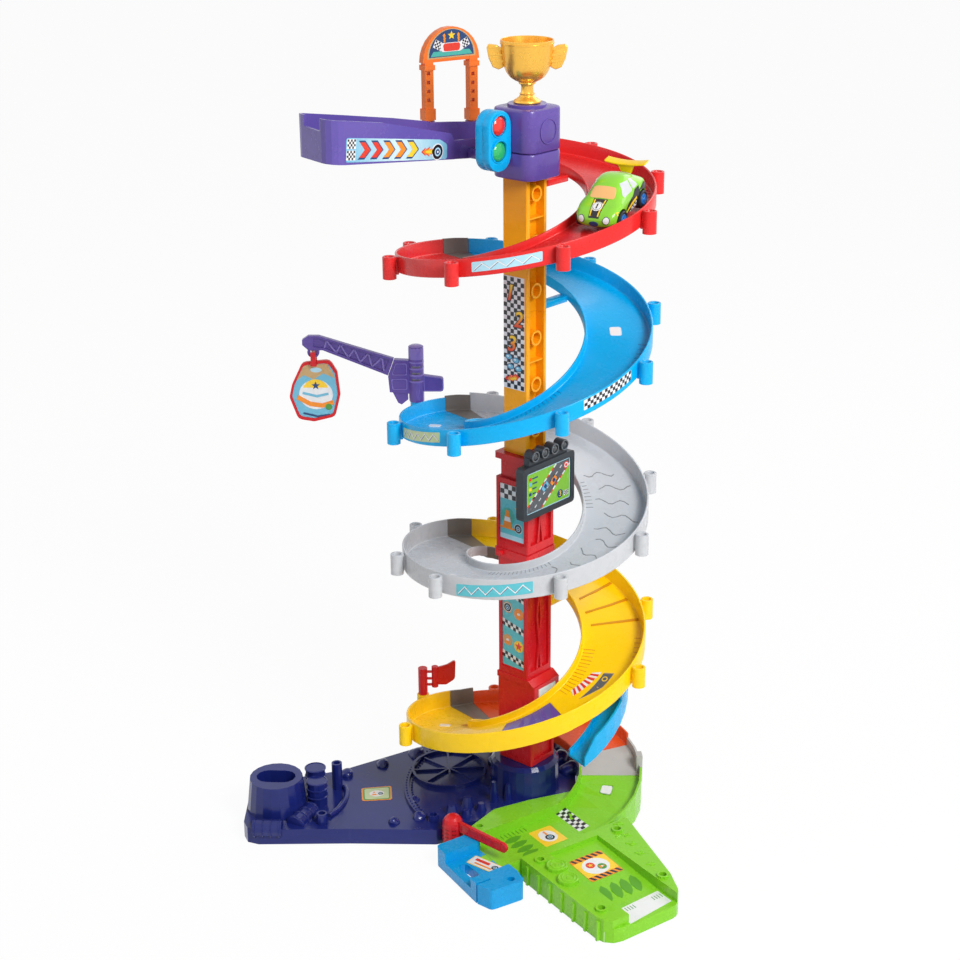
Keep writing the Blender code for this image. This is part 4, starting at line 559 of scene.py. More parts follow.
def line_tree():
    """Copies of one small piece in a straight row."""
    tree, inside, out = geometry_tree("straight_row", [("Start", "Vector", (0, 0, 0)),
                                                       ("Step", "Vector", (0.01, 0, 0)), ("Count", "Int", 8)])
    line = add(tree, "GeometryNodeMeshLine", {"Count": inside.outputs["Count"],
                                              "Start Location": inside.outputs["Start"],
                                              "Offset": inside.outputs["Step"]})
    copies = add(tree, "GeometryNodeInstanceOnPoints", {"Points": line.outputs[0],
                                                        "Instance": inside.outputs["Geometry"]})
    return end_tree(tree, copies.outputs[0], inside, out)


TURN = turn_tree()
ROW = row_tree()
LINE = line_tree()


def grown(tree, mesh, values):
    """The plain mesh that a tree makes from a starting mesh."""
    holder = held("holder", mesh)
    step = holder.modifiers.new("tree", "NODES")
    step.node_group = tree
    for socket in tree.interface.items_tree:
        if socket.in_out == "INPUT" and socket.name in values:
            step[socket.identifier] = values[socket.name]
    return evaluated(holder)


def stage_values(stage):
    """A stage's numbers under the names of the tree's inputs."""
    return {label: float(value) for (label, _, _), value in zip(STAGE_INPUTS, stage)}


# Solids

class Piece:
    """A mesh put together from closed solids, each with one of the piece's finishes."""

    def __init__(self, name, *finishes):
        self.name = name
        self.finishes = finishes
        self.mesh = bmesh.new()

    def take(self, mesh, finish=0, place=Matrix()):
        """Adds a mesh or a bmesh, placed by a matrix."""
        if isinstance(mesh, bmesh.types.BMesh):
            mesh = plain(mesh)
        mesh.transform(place)
        self.mesh.faces.ensure_lookup_table()
        before = len(self.mesh.faces)
        self.mesh.from_mesh(mesh)
        self.mesh.faces.ensure_lookup_table()
        for face in self.mesh.faces[before:]:
            face.material_index = finish
        bpy.data.meshes.remove(mesh)
        return self

    def done(self, body, slot, *stands_for, smooth=38):
        """Makes the object on its body. Edges that bend less than the angle, in degrees, are smooth."""
        bmesh.ops.recalc_face_normals(self.mesh, faces=self.mesh.faces)
        limit = math.radians(smooth)
        for face in self.mesh.faces:
            face.smooth = True
        for edge in self.mesh.edges:
            edge.smooth = len(edge.link_faces) == 2 and edge.calc_face_angle(0) < limit
        mesh = plain(self.mesh, self.name)
        for finish in self.finishes:
            mesh.materials.append(finish)
        made = held(self.name, mesh)
        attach(made, body)
        if stands_for:
            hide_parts(*stands_for)
        return made


def arc(centre, radius, start, end, steps):
    angles = [math.radians(start + (end - start) * i / steps) for i in range(steps + 1)]
    return [(centre[0] + radius * math.cos(a), centre[1] + radius * math.sin(a)) for a in angles]


def rounded(corners, radius, steps=4):
    """A polygon with its corners rounded. The radius is one value or one for each corner."""
    radii = radius if isinstance(radius, (list, tuple)) else [radius] * len(corners)
    points = []
    for i, corner in enumerate(corners):
        here = Vector(corner)
        if radii[i] == 0:
            points.append(tuple(here))
            continue
        back = (Vector(corners[i - 1]) - here).normalized()
        ahead = (Vector(corners[(i + 1) % len(corners)]) - here).normalized()
        half = back.angle(ahead) / 2
        reach = radii[i] / math.tan(half)
        middle = here + (back + ahead).normalized() * radii[i] / math.sin(half)
        first = here + back * reach - middle
        last = here + ahead * reach - middle
        swing = math.atan2(first.x * last.y - first.y * last.x, first.dot(last))
        for k in range(steps + 1):
            points.append(tuple(middle + Matrix.Rotation(swing * k / steps, 2) @ first))
    return points


def oblong(x, y, radius=0.0, steps=4):
    corners = [(x[0], y[0]), (x[1], y[0]), (x[1], y[1]), (x[0], y[1])]
    return rounded(corners, radius, steps) if radius else corners


def cake(outlines, low, high, edge=0.0006, place=Matrix()):
    """A flat outline with any holes, given its thickness along Z, with rounded edges."""
    curve = bpy.data.curves.new("cake", "CURVE")
    curve.dimensions = "2D"
    curve.fill_mode = "BOTH"
    edge = min(edge, (high - low) * 0.49)
    curve.extrude = (high - low) / 2 - edge
    curve.bevel_depth = edge
    curve.bevel_resolution = 1
    curve.offset = -edge
    for outline in outlines:
        spline = curve.splines.new("POLY")
        spline.points.add(len(outline) - 1)
        for point, (x, y) in zip(spline.points, outline):
            point.co = (x, y, 0, 1)
        spline.use_cyclic_u = True
    return welded(held("cake", curve), 0.000008, place @ shift(0, 0, (low + high) / 2))


def bar(x, y, z, edge=0.0006, place=Matrix(), segments=2):
    """A box with all its edges rounded."""
    bm = bmesh.new()
    size = Vector((x[1] - x[0], y[1] - y[0], z[1] - z[0]))
    middle = Vector(((x[0] + x[1]) / 2, (y[0] + y[1]) / 2, (z[0] + z[1]) / 2))
    bmesh.ops.create_cube(bm, size=1, matrix=Matrix.Translation(middle) @ Matrix.Diagonal((*size, 1)))
    edge = min(edge, min(size) * 0.45)
    bmesh.ops.bevel(bm, geom=bm.edges[:], offset=edge, segments=segments, profile=0.5, affect="EDGES")
    bm.transform(place)
    return bm


def lathed(profile, sides=40, place=Matrix()):
    """A closed profile of (radius, height) turned about Z. Points on the axis have radius 0."""
    bm = bmesh.new()
    rings = []
    for radius, height in profile:
        if radius < 1e-7:
            rings.append([bm.verts.new((0, 0, height))])
        else:
            rings.append([bm.verts.new((radius * math.cos(2 * math.pi * i / sides),
                                        radius * math.sin(2 * math.pi * i / sides), height))
                          for i in range(sides)])
    closed = profile[0][0] > 1e-7
    count = len(rings)
    for k in range(count if closed else count - 1):
        one, two = rings[k], rings[(k + 1) % count]
        for i in range(sides):
            j = (i + 1) % sides
            if len(one) == 1 and len(two) == 1:
                continue
            if len(one) == 1:
                bm.faces.new((one[0], two[j], two[i]))
            elif len(two) == 1:
                bm.faces.new((one[i], one[j], two[0]))
            else:
                bm.faces.new((one[i], one[j], two[j], two[i]))
    bmesh.ops.recalc_face_normals(bm, faces=bm.faces)
    bm.transform(place)
    return bm


def hollow_post(spot, radius, bore, low, high, sides=22, rim=0.0005):
    profile = [(bore, low), (bore, high - rim), (bore + rim * 0.7, high), (radius - rim, high),
               (radius, high - rim), (radius, low)]
    return lathed(profile, sides, shift(*spot, 0))


def ring_mesh(section):
    """The section's outline as a closed loop of edges, which the turn tree carries along."""
    mesh = bpy.data.meshes.new("section")
    count = len(section)
    mesh.from_pydata([(r, h, 0) for r, h in section], [(i, (i + 1) % count) for i in range(count)], [])
    return mesh


def turn(section, start, end, stage, steps=None):
    steps = steps or max(2, round((end - start) / 3))
    return grown(TURN, ring_mesh(section), {"Start angle": float(start), "End angle": float(end),
                                            "Steps": steps, **stage_values(stage)})


def row(bm, first, step, count, stage):
    return grown(ROW, plain(bm, "one"), {"First angle": float(first), "Step angle": float(step),
                                         "Count": count, **stage_values(stage)})


def line_of(bm, start, step, count):
    return grown(LINE, plain(bm, "one"), {"Start": start, "Step": step, "Count": count})


def channel(outer_wall, inner_wall=INNER_WALL, skirt=FLOOR, inside=TRACK_IN, outside=TRACK_OUT):
    """The track's section: floor with soft corners between an inner and an outer wall."""
    rim = 0.0009
    points = [(inside, inner_wall - rim), (inside + rim * 0.4, inner_wall - rim * 0.3),
              (inside + rim, inner_wall), (inside + WALL - rim, inner_wall),
              (inside + WALL - rim * 0.4, inner_wall - rim * 0.3), (inside + WALL, inner_wall - rim)]
    points += arc((inside + WALL + 0.0014, 0.0014), 0.0014, 180, 270, 4)
    points += arc((outside - WALL - 0.0016, 0.0016), 0.0016, 270, 360, 4)
    points += [(outside - WALL, outer_wall - rim), (outside - WALL + rim * 0.4, outer_wall - rim * 0.3),
               (outside - WALL + rim, outer_wall), (outside - rim, outer_wall),
               (outside - rim * 0.3, outer_wall - rim * 0.4), (outside, outer_wall - rim),
               (outside, -skirt + 0.0007), (outside - 0.0007, -skirt), (inside + 0.0007, -skirt),
               (inside, -skirt + 0.0007)]
    return points


def track_posts(piece, stage, first, count, wall, finish=0, step=45):
    """Hollow round posts outside the wall, each tied to it by a web."""
    low, high = wall - 0.001 - POST_HEIGHT, wall - 0.001
    piece.take(row(hollow_post((POST_RING, 0), POST_RADIUS, POST_BORE, low, high), first, step, count, stage),
               finish)
    web = bar((TRACK_OUT - 0.0012, POST_RING - 0.0054), (-0.0025, 0.0025), (low + 0.004, high - 0.0012),
              0.0006)
    piece.take(row(web, first, step, count, stage), finish)


def column_arm(piece, angle, face, finish=0):
    """The bar from the inner wall to the column, with its hooked plate."""
    low = track_floor(angle) - 0.008
    piece.take(bar((-0.006, 0.006), (face + 0.002, TRACK_IN + 0.0012), (low, low + 0.007), 0.0008), finish)
    piece.take(bar((-0.009, 0.009), (face + 0.0003, face + 0.0035), (low - 0.006, low + 0.011), 0.0008),
               finish)


def red_turn():
    piece = Piece("red_turn", FINISH["track_red"])
    piece.take(turn(channel(LOW_WALL), -51.75, JOINTS[0] - CLIP_REACH, RED_STAGE, 130))
    track_posts(piece, RED_STAGE, -10, 7, LOW_WALL)
    column_arm(piece, 0, 0.0165)
    piece.done("tower", "red", "track_red")


def blue_turn():
    piece = Piece("blue_turn", FINISH["cyan"])
    piece.take(turn(channel(LOW_WALL), JOINTS[0] + CLIP_REACH, JOINTS[1] - CLIP_REACH, BLUE_STAGE, 132))
    track_posts(piece, BLUE_STAGE, 305, 7, LOW_WALL)
    track_posts(piece, BLUE_STAGE, CRANE_POST, 1, LOW_WALL)
    column_arm(piece, 360, 0.0165)
    piece.done("tower", "cyan", "track_blue")


def grey_turn():
    piece = Piece("grey_turn", FINISH["grey"])
    piece.take(turn(channel(HIGH_WALL), JOINTS[1] + CLIP_REACH, JOINTS[2] - CLIP_REACH, GREY_STAGE, 132))
    track_posts(piece, GREY_STAGE, 665, 5, HIGH_WALL)
    track_posts(piece, GREY_STAGE, 901, 1, HIGH_WALL)
    track_posts(piece, GREY_STAGE, 935, 2, HIGH_WALL)
    column_arm(piece, 720, 0.023)
    piece.done("tower", "grey", "track_grey")


def yellow_turn():
    """The turn with the flap: its floor is left open there, between a near and a far edge."""
    piece = Piece("yellow_turn", FINISH["yellow"])
    inner, outer = 0.074 - 0.0012, 0.128 + 0.0012
    start, end = 1198 - 0.4, 1236 + 0.4
    piece.take(turn(channel(HIGH_WALL), JOINTS[2] + CLIP_REACH, start, YELLOW_STAGE, 70))
    piece.take(turn(channel(HIGH_WALL), end, JOINTS[3] - CLIP_REACH, YELLOW_STAGE, 48))
    near = [(TRACK_IN, INNER_WALL - 0.0009), (TRACK_IN + 0.0009, INNER_WALL),
            (TRACK_IN + WALL - 0.0009, INNER_WALL), (TRACK_IN + WALL, INNER_WALL - 0.0009),
            (TRACK_IN + WALL, 0.001), (TRACK_IN + WALL + 0.001, 0), (inner, 0), (inner, -FLOOR),
            (TRACK_IN, -FLOOR)]
    far = [(outer, 0), (TRACK_OUT - WALL - 0.0012, 0), (TRACK_OUT - WALL, 0.0012),
           (TRACK_OUT - WALL, HIGH_WALL - 0.0009), (TRACK_OUT - WALL + 0.0009, HIGH_WALL),
           (TRACK_OUT - 0.0009, HIGH_WALL), (TRACK_OUT, HIGH_WALL - 0.0009), (TRACK_OUT, -FLOOR),
           (outer, -FLOOR)]
    piece.take(turn(near, start, end, YELLOW_STAGE, 14))
    piece.take(turn(far, start, end, YELLOW_STAGE, 14))
    track_posts(piece, YELLOW_STAGE, 1025, 4, HIGH_WALL)
    track_posts(piece, YELLOW_STAGE, 1288, 1, HIGH_WALL)
    track_posts(piece, YELLOW_STAGE, 1343, 1, HIGH_WALL)
    column_arm(piece, 1080, 0.0215)
    piece.done("tower", "yellow", "track_yellow")


def orange_turn():
    piece = Piece("orange_turn", FINISH["orange_red"])
    piece.take(turn(channel(LOW_WALL), JOINTS[3] + CLIP_REACH, 1464.75, ORANGE_STAGE, 36))
    track_posts(piece, ORANGE_STAGE, 1385, 1, LOW_WALL)
    piece.done("tower", "orange_red", "exit_ramp")


def floor_clips():
    """Clips between the levels: each is a short stretch of channel with tall rounded walls."""
    joints = ((RED_STAGE, BLUE_STAGE, LOW_WALL + 0.0005), (BLUE_STAGE, GREY_STAGE, LOW_WALL + 0.002),
              (GREY_STAGE, YELLOW_STAGE, HIGH_WALL), (YELLOW_STAGE, ORANGE_STAGE, HIGH_WALL))
    for number, (stage, after, wall) in enumerate(joints):
        middle = JOINTS[number]
        piece = Piece("joint_clip_%d" % (number + 1), FINISH["taupe"])
        low = FLOOR + 0.001 + 0.0016
        section = channel(wall, INNER_WALL, low)
        piece.take(turn(section, middle - 7, middle, stage, 6))
        piece.take(turn(section, middle, middle + 7, after, 6))
        lip = [(TRACK_IN + 0.006, -FLOOR - 0.001), (TRACK_OUT - 0.006, -FLOOR - 0.001),
               (TRACK_OUT - 0.006, -low + 0.0004), (TRACK_IN + 0.006, -low + 0.0004)]
        piece.take(turn(lip, middle - 11, middle - 6, stage, 4))
        piece.take(turn(lip, middle + 6, middle + 11, after, 4))
        piece.done("tower", "taupe", "track_clip_%d" % (number + 1))


# Prints and other thin flat shapes

def flat(outline, low, high, place=Matrix()):
    """A flat shape given its thickness along Z, such as one colour of a print."""
    bm = bmesh.new()
    under = [bm.verts.new((x, y, low)) for x, y in outline]
    upper = [bm.verts.new((x, y, high)) for x, y in outline]
    bm.faces.new(under[::-1])
    bm.faces.new(upper)
    for i in range(len(outline)):
        j = (i + 1) % len(outline)
        bm.faces.new((under[i], under[j], upper[j], upper[i]))
    bm.transform(place)
    return bm


def stroke(points, half):
    """The outline of a bent line of even width."""
    left, right = [], []
    for i, point in enumerate(points):
        here = Vector(point)
        ahead = Vector(points[min(i + 1, len(points) - 1)]) - here
        back = here - Vector(points[max(i - 1, 0)])
        ahead = ahead.normalized() if ahead.length > 0 else back.normalized()
        back = back.normalized() if back.length > 0 else ahead
        mean = (ahead + back).normalized()
        side = Vector((-mean.y, mean.x))
        reach = half / max(0.35, side.dot(Vector((-ahead.y, ahead.x))))
        left.append(tuple(here + side * reach))
        right.append(tuple(here - side * reach))
    return left + right[::-1]


def bent(bm, rule, step=0.004):
    """Cuts the flat shape into narrow strips and lays it on a curved surface."""
    low, high = min(v.co.x for v in bm.verts), max(v.co.x for v in bm.verts)
    for i in range(1, int((high - low) / step) + 1):
        everything = bm.verts[:] + bm.edges[:] + bm.faces[:]
        bmesh.ops.bisect_plane(bm, geom=everything, plane_co=(low + i * step, 0, 0), plane_no=(1, 0, 0))
    for vert in bm.verts:
        vert.co = rule(vert.co)
    return bm


def on_wall(start):
    """Lays a drawing on the outer wall: X runs to the right from the start angle, Y is over the floor."""
    def rule(spot):
        angle = start - math.degrees(spot.x / TRACK_OUT)
        return polar(angle, TRACK_OUT + spot.z, track_floor(angle) + spot.y)
    return rule


def on_floor(start):
    """Lays a drawing on the running surface: X runs down the track, Y is the radius."""
    def rule(spot):
        angle = start + math.degrees(spot.x / TRACK_MID)
        return polar(angle, spot.y, track_floor(angle) + spot.z)
    return rule


def down_track(angle, start):
    return (angle - start) * CLOCK * TRACK_MID


def numeral(text, size, low, high, place, grow=0.0, lean=0.0):
    """A figure as a closed solid."""
    curve = bpy.data.curves.new("numeral", "FONT")
    curve.body = text
    curve.size = size
    curve.extrude = (high - low) / 2
    curve.offset = grow
    curve.shear = lean
    curve.align_x = "CENTER"
    curve.align_y = "CENTER"
    curve.resolution_u = 4
    return welded(held("numeral", curve), 0.000004, place @ shift(0, 0, (low + high) / 2))


def checker_tree():
    """Every second square of a grid, as thin plates round the origin."""
    tree, inside, out = geometry_tree("checker_squares",
                                      [("Columns", "Int", 6), ("Rows", "Int", 20), ("Square", "Float", 0.005),
                                       ("Thickness", "Float", 0.0006)])
    square = inside.outputs["Square"]
    wide = worked(tree, "MULTIPLY", worked(tree, "SUBTRACT", inside.outputs["Columns"], 1.0), square)
    tall = worked(tree, "MULTIPLY", worked(tree, "SUBTRACT", inside.outputs["Rows"], 1.0), square)
    grid = add(tree, "GeometryNodeMeshGrid", {"Size X": wide, "Size Y": tall,
                                              "Vertices X": inside.outputs["Columns"],
                                              "Vertices Y": inside.outputs["Rows"]})
    index = add(tree, "GeometryNodeInputIndex").outputs[0]
    column = worked(tree, "FLOOR", worked(tree, "DIVIDE", worked(tree, "ADD", index, 0.5),
                                          inside.outputs["Rows"]))
    row_number = worked(tree, "SUBTRACT", index, worked(tree, "MULTIPLY", column, inside.outputs["Rows"]))
    odd = worked(tree, "MODULO", worked(tree, "ADD", column, row_number), 2.0)
    size = add(tree, "ShaderNodeCombineXYZ", {"X": square, "Y": square, "Z": inside.outputs["Thickness"]})
    block = add(tree, "GeometryNodeMeshCube", {"Size": size.outputs[0]})
    copies = add(tree, "GeometryNodeInstanceOnPoints", {"Points": grid.outputs[0],
                                                        "Instance": block.outputs[0]})
    tree.links.new(odd, copies.inputs["Selection"])
    return end_tree(tree, copies.outputs[0], inside, out)


CHECKER = checker_tree()


def checker(columns, rows, square, proud, place=Matrix()):
    """The dark squares of a checker pattern that stands this much proud of Z = 0."""
    mesh = grown(CHECKER, bpy.data.meshes.new("one"), {"Columns": columns, "Rows": rows, "Square": square,
                                                       "Thickness": proud * 2})
    bm = bmesh.new()
    bm.from_mesh(mesh)
    bmesh.ops.scale(bm, vec=(0.985, 0.985, 1), verts=bm.verts)
    bm.transform(place)
    return bm


def disc(x, y, radius, steps=24, squash=1.0):
    return [(x + radius * math.cos(2 * math.pi * i / steps),
             y + radius * squash * math.sin(2 * math.pi * i / steps)) for i in range(steps)]


def star(x, y, radius):
    return [(x + (radius if i % 2 == 0 else radius * 0.42) * math.sin(math.pi * i / 5),
             y + (radius if i % 2 == 0 else radius * 0.42) * math.cos(math.pi * i / 5)) for i in range(10)]


def moved(outline, x=0.0, y=0.0, size=1.0, turned=0.0):
    c, k = math.cos(turned), math.sin(turned)
    return [(x + size * (a * c - b * k), y + size * (a * k + b * c)) for a, b in outline]


INKS = list(INK)


def printed(name):
    """A piece whose finishes are all the inks, taken by name with shade()."""
    return Piece(name, *INK.values())


def shade(name):
    return INKS.index(name)


def lay(piece, shape, tone, height, place):
    """One flat colour of a print, from its ground up to this height."""
    piece.take(flat(shape, 0, height, place), shade(tone))


def lay_bent(piece, shape, tone, height, rule, step=0.004):
    """The same on a curved surface."""
    piece.take(bent(flat(shape, 0, height), rule, step), shade(tone))


CONE = [(-0.5, -0.5), (0.5, -0.5), (0.5, -0.4), (0.3, -0.4), (0.09, 0.5), (-0.09, 0.5), (-0.3, -0.4),
        (-0.5, -0.4)]
CONE_BAND = [(-0.22, -0.1), (0.22, -0.1), (0.16, 0.14), (-0.16, 0.14)]
FLAME = [(-1.0, 0.0), (-0.5, 0.35), (-0.62, 0.05), (0.0, 0.42), (-0.15, 0.1), (0.6, 0.4), (1.0, 0.0),
         (0.6, -0.32), (-0.1, -0.14), (0.02, -0.4), (-0.55, -0.1), (-0.45, -0.34)]
CHEVRON = [(-0.5, -0.5), (0.0, -0.5), (0.5, 0.0), (0.0, 0.5), (-0.5, 0.5), (0.0, 0.0)]


def cone_picture(piece, x, y, size, place, low=0.0003):
    lay(piece, moved(CONE, x, y, size), "orange", low + 0.0001, place)
    lay(piece, moved(CONE_BAND, x, y, size), "white", low + 0.0002, place)


def wheel_picture(piece, x, y, radius, place, low=0.0003):
    for share, colour, lift in ((1.0, "white", 0.0001), (0.88, "black", 0.0002), (0.52, "pale_sky", 0.0003),
                                (0.34, "navy", 0.0004), (0.14, "white", 0.0005)):
        lay(piece, disc(x, y, radius * share), colour, low + lift, place)


def flag_picture(piece, x, y, size, place, low=0.0003, turned=0.0):
    tilt = place @ shift(x, y, 0) @ spin(turned)
    lay(piece, oblong((-size * 0.54, size * 0.54), (-size * 0.42, size * 0.42)), "white", low + 0.0001, tilt)
    piece.take(checker(5, 4, size * 0.2, low + 0.0002, tilt), shade("black"))


def column_print():
    """Checker strip with the figures 1, 2 and 3 down the front of the upper column."""
    place = shift(0, -0.0165, 0) @ UPRIGHT
    piece = Piece("column_print", *INK.values(), FIRE)
    middle, wide, low, high = -0.0012, 0.0288, 0.511, 0.6358
    lay(piece, oblong((middle - wide / 2, middle + wide / 2), (low, high)), "white", 0.0002, place)
    board = place @ shift(middle, (low + high) / 2, 0)
    piece.take(checker(6, 26, 0.0048, 0.0003, board), shade("black"))
    for text, x, z in (("1", -0.0075, 0.617), ("2", 0.0045, 0.589), ("3", -0.005, 0.561)):
        spot = place @ shift(x, z, 0)
        piece.take(numeral(text, 0.0245, 0, 0.00042, spot, 0.0014, 0.2), shade("black"))
        piece.take(numeral(text, 0.0245, 0, 0.00055, spot, 0.0004, 0.2), len(INK))
    for x, z in ((-0.0085, 0.5465), (0.0015, 0.544), (-0.006, 0.536), (0.005, 0.535)):
        lay(piece, disc(x, z, 0.005, 20, 0.66), "navy", 0.0004, place)
        lay(piece, disc(x, z, 0.0041, 20, 0.62), "sky", 0.0005, place)
        lay(piece, disc(x - 0.001, z + 0.0006, 0.0016, 12, 0.6), "white", 0.0006, place)
    for x, z, size, tone, lift in ((-0.004, 0.5235, 0.0105, "red", 0.00045),
                                   (-0.003, 0.5232, 0.0075, "orange", 0.00055),
                                   (-0.002, 0.5228, 0.0045, "yellow", 0.00065)):
        lay(piece, moved(FLAME, x, z, size, 0.25), tone, lift, place)
    piece.done("tower", "white")


def panel_prints():
    """Framed prints in the fronts of the two red column sections."""
    place = shift(0, -0.0218, 0) @ UPRIGHT
    piece = printed("middle_panel_print")
    lay(piece, oblong((-0.017, 0.017), (0.3368, 0.4012), 0.001), "aqua", 0.0002, place)
    lay(piece, oblong((-0.017, 0.017), (0.3842, 0.4012)), "white", 0.00025, place)
    piece.take(checker(6, 3, 0.0056, 0.00033, place @ shift(0, 0.3927, 0)), shade("black"))
    lay(piece, oblong((-0.017, 0.017), (0.3368, 0.3425)), "pale_sky", 0.00025, place)
    lay(piece, disc(-0.006, 0.364, 0.01), "teal", 0.00025, place)
    cone_picture(piece, -0.0065, 0.36, 0.022, place)
    lay(piece, star(0.0085, 0.3745, 0.005), "yellow", 0.0004, place)
    wheel_picture(piece, 0.009, 0.3525, 0.0058, place)
    piece.done("tower", "white")
    place = shift(0, -0.0203, 0) @ UPRIGHT
    piece = printed("lower_panel_print")
    lay(piece, oblong((-0.0157, 0.0157), (0.18, 0.303), 0.001), "aqua", 0.0002, place)
    for low in (0.183, 0.2225, 0.262):
        band = [(-0.0157, low + 0.0075), (0.0157, low), (0.0157, low + 0.008), (-0.0157, low + 0.0155)]
        lay(piece, band, "white", 0.0003, place)
        for i in range(8):
            x = -0.0157 + 0.0314 * i / 8
            lift = 0.0075 * (1 - i / 8) + (0.004 if i % 2 else 0.0)
            part = [(x, low + lift), (x + 0.0039, low + lift - 0.00094), (x + 0.0039, low + lift + 0.00306),
                    (x, low + lift + 0.004)]
            lay(piece, part, "black", 0.0004, place)
    for x, z, tone in ((-0.008, 0.2525, "tan"), (0.0082, 0.248, "orange"), (-0.008, 0.212, "tan"),
                       (0.0082, 0.208, "yellow"), (-0.0078, 0.29, "teal"), (0.008, 0.287, "pale_sky")):
        lay(piece, disc(x, z, 0.007), tone, 0.0003, place)
    wheel_picture(piece, -0.008, 0.2525, 0.0058, place)
    cone_picture(piece, 0.0082, 0.248, 0.0105, place)
    cone_picture(piece, -0.008, 0.212, 0.0105, place)
    lay(piece, star(0.0082, 0.208, 0.0058), "red", 0.0005, place)
    flag_picture(piece, -0.0078, 0.29, 0.01, place)
    wheel_picture(piece, 0.008, 0.287, 0.0058, place)
    piece.done("tower", "white")


def tray_print():
    """Long print on the tray's near side: chequered flags, speed arrows, and a wheel in flames."""
    place = shift(-0.064, 0, 0) @ FACING_X
    piece = Piece("tray_print", *INK.values(), SKY)
    outline = rounded([(-0.1963, 0.7765), (-0.0497, 0.7574), (-0.0493, 0.773), (-0.06, 0.7792),
                       (-0.1951, 0.8005)], [0.002, 0.003, 0.004, 0.004, 0.003])
    piece.take(flat(outline, 0, 0.0003, place), len(INK))
    lean = -0.135
    flag_picture(piece, -0.188, 0.7935, 0.0115, place, turned=lean)
    flag_picture(piece, -0.1895, 0.7825, 0.0115, place, turned=lean)
    for i, tone in enumerate(("red", "red", "orange", "orange", "yellow")):
        y, z = -0.17 + 0.0172 * i, 0.785 - 0.0024 * i
        lay(piece, moved(CHEVRON, y, z, 0.0185, lean), "navy", 0.0005, place)
        lay(piece, moved(CHEVRON, y, z, 0.015, lean), tone, 0.0006, place)
    for size, tone, lift in ((0.013, "red", 0.0005), (0.0105, "orange", 0.0006), (0.007, "yellow", 0.0007)):
        lay(piece, moved(FLAME, -0.076, 0.769, size, lean), tone, lift, place)
    wheel_picture(piece, -0.0645, 0.7672, 0.0086, place, 0.0006)
    piece.done("tower", "white")


def gate_frame():
    """The arch's own frame: X along its two posts, and Z out of its face."""
    feet = [polar(a, POST_RING, bend_floor(a) + 0.0265) for a in (-86.0, -63.5)]
    middle, along = (feet[0] + feet[1]) / 2, (feet[1] - feet[0]).to_2d()
    turned = math.atan2(along.y, along.x)
    return shift(middle.x, middle.y, 0) @ spin(turned) @ UPRIGHT


def gate_print():
    """The arch's sign on both faces: a rim, crossed chequered flags, and a bare field with a star."""
    piece = printed("gate_print")
    for face in (Matrix(), spin(math.pi, "Y")):
        place = gate_frame() @ face @ shift(0, 0.8415, 0.004 if face == Matrix() else 0.0025)
        lay(piece, arc((0, 0.0035), 0.0308, 0, 180, 28), "tan", 0.0003, place)
        lay(piece, arc((0, 0.005), 0.0285, 0, 180, 28), "navy", 0.0004, place)
        lay(piece, [(-0.0265, 0.0058), (0.0265, 0.0058), (0.023, 0.011), (-0.023, 0.011)], "teal", 0.0005,
            place)
        for side in (-1, 1):
            flag_picture(piece, side * 0.0165, 0.0175, 0.0105, place, 0.0005, side * 0.45)
            lay(piece, moved(FLAME, side * 0.009, 0.0245, 0.005, math.pi / 2), "orange", 0.0008, place)
        for size, tone, lift in ((1.0, "white", 0.0009), (0.88, "red", 0.001)):
            bare = rounded([(-0.013 * size, 0.01), (0.013 * size, 0.01), (0.0145 * size, 0.0195),
                            (-0.0145 * size, 0.0195)], 0.003)
            lay(piece, moved(bare, 0, 0.0148 * (1 - size), size), tone, lift, place)
        lay(piece, star(0, 0.027, 0.005), "yellow", 0.0009, place)
    piece.done("tower", "white")


def zigzag(piece, start, length, low, high, count, ground, step=0.004):
    """A strip on an outer wall with a white zigzag and its dark shadow line."""
    rule = on_wall(start)
    lean = (high[1] - high[0]) / length
    outline = rounded([(0, low), (length, low + lean * length), (length, high[1]), (0, high[0])], 0.001, 2)
    lay_bent(piece, outline, ground, 0.00025, rule, step)
    tall = high[0] - low
    for aside, tone, lift in ((0.0006, "navy", 0.00035), (0, "white", 0.00045)):
        points = []
        for i in range(count * 2 + 1):
            x = 0.0025 + (length - 0.005) * i / (count * 2)
            share = 0.2 if i % 2 == 0 else 0.8
            points.append((x + aside, low + lean * x + tall * share - aside * 0.5))
        lay_bent(piece, stroke(points, 0.0005), tone, lift, rule, step)


def wall_prints():
    piece = printed("red_wall_print")
    zigzag(piece, 162.6, 0.0715, 0.002, (0.0122, 0.0128), 4, "pale_sky")
    piece.done("tower", "white")
    piece = printed("grey_wall_print")
    zigzag(piece, 892.0, 0.085, -0.001, (0.0125, 0.017), 5, "aqua")
    piece.done("tower", "white")
    piece = printed("blue_wall_print")
    zigzag(piece, 570.6, 0.073, -0.0005, (0.0105, 0.013), 5, "pale_green")
    rule = on_wall(474.0)
    lay_bent(piece, oblong((0, 0.065), (0.0035, 0.0143), 0.0006, 2), "white", 0.00025, rule)
    squares = checker(18, 3, 0.0036, 0.00035, shift(0.0325, 0.0089, 0))
    piece.take(bent(squares, rule, 0.02), shade("black"))
    piece.done("tower", "white")


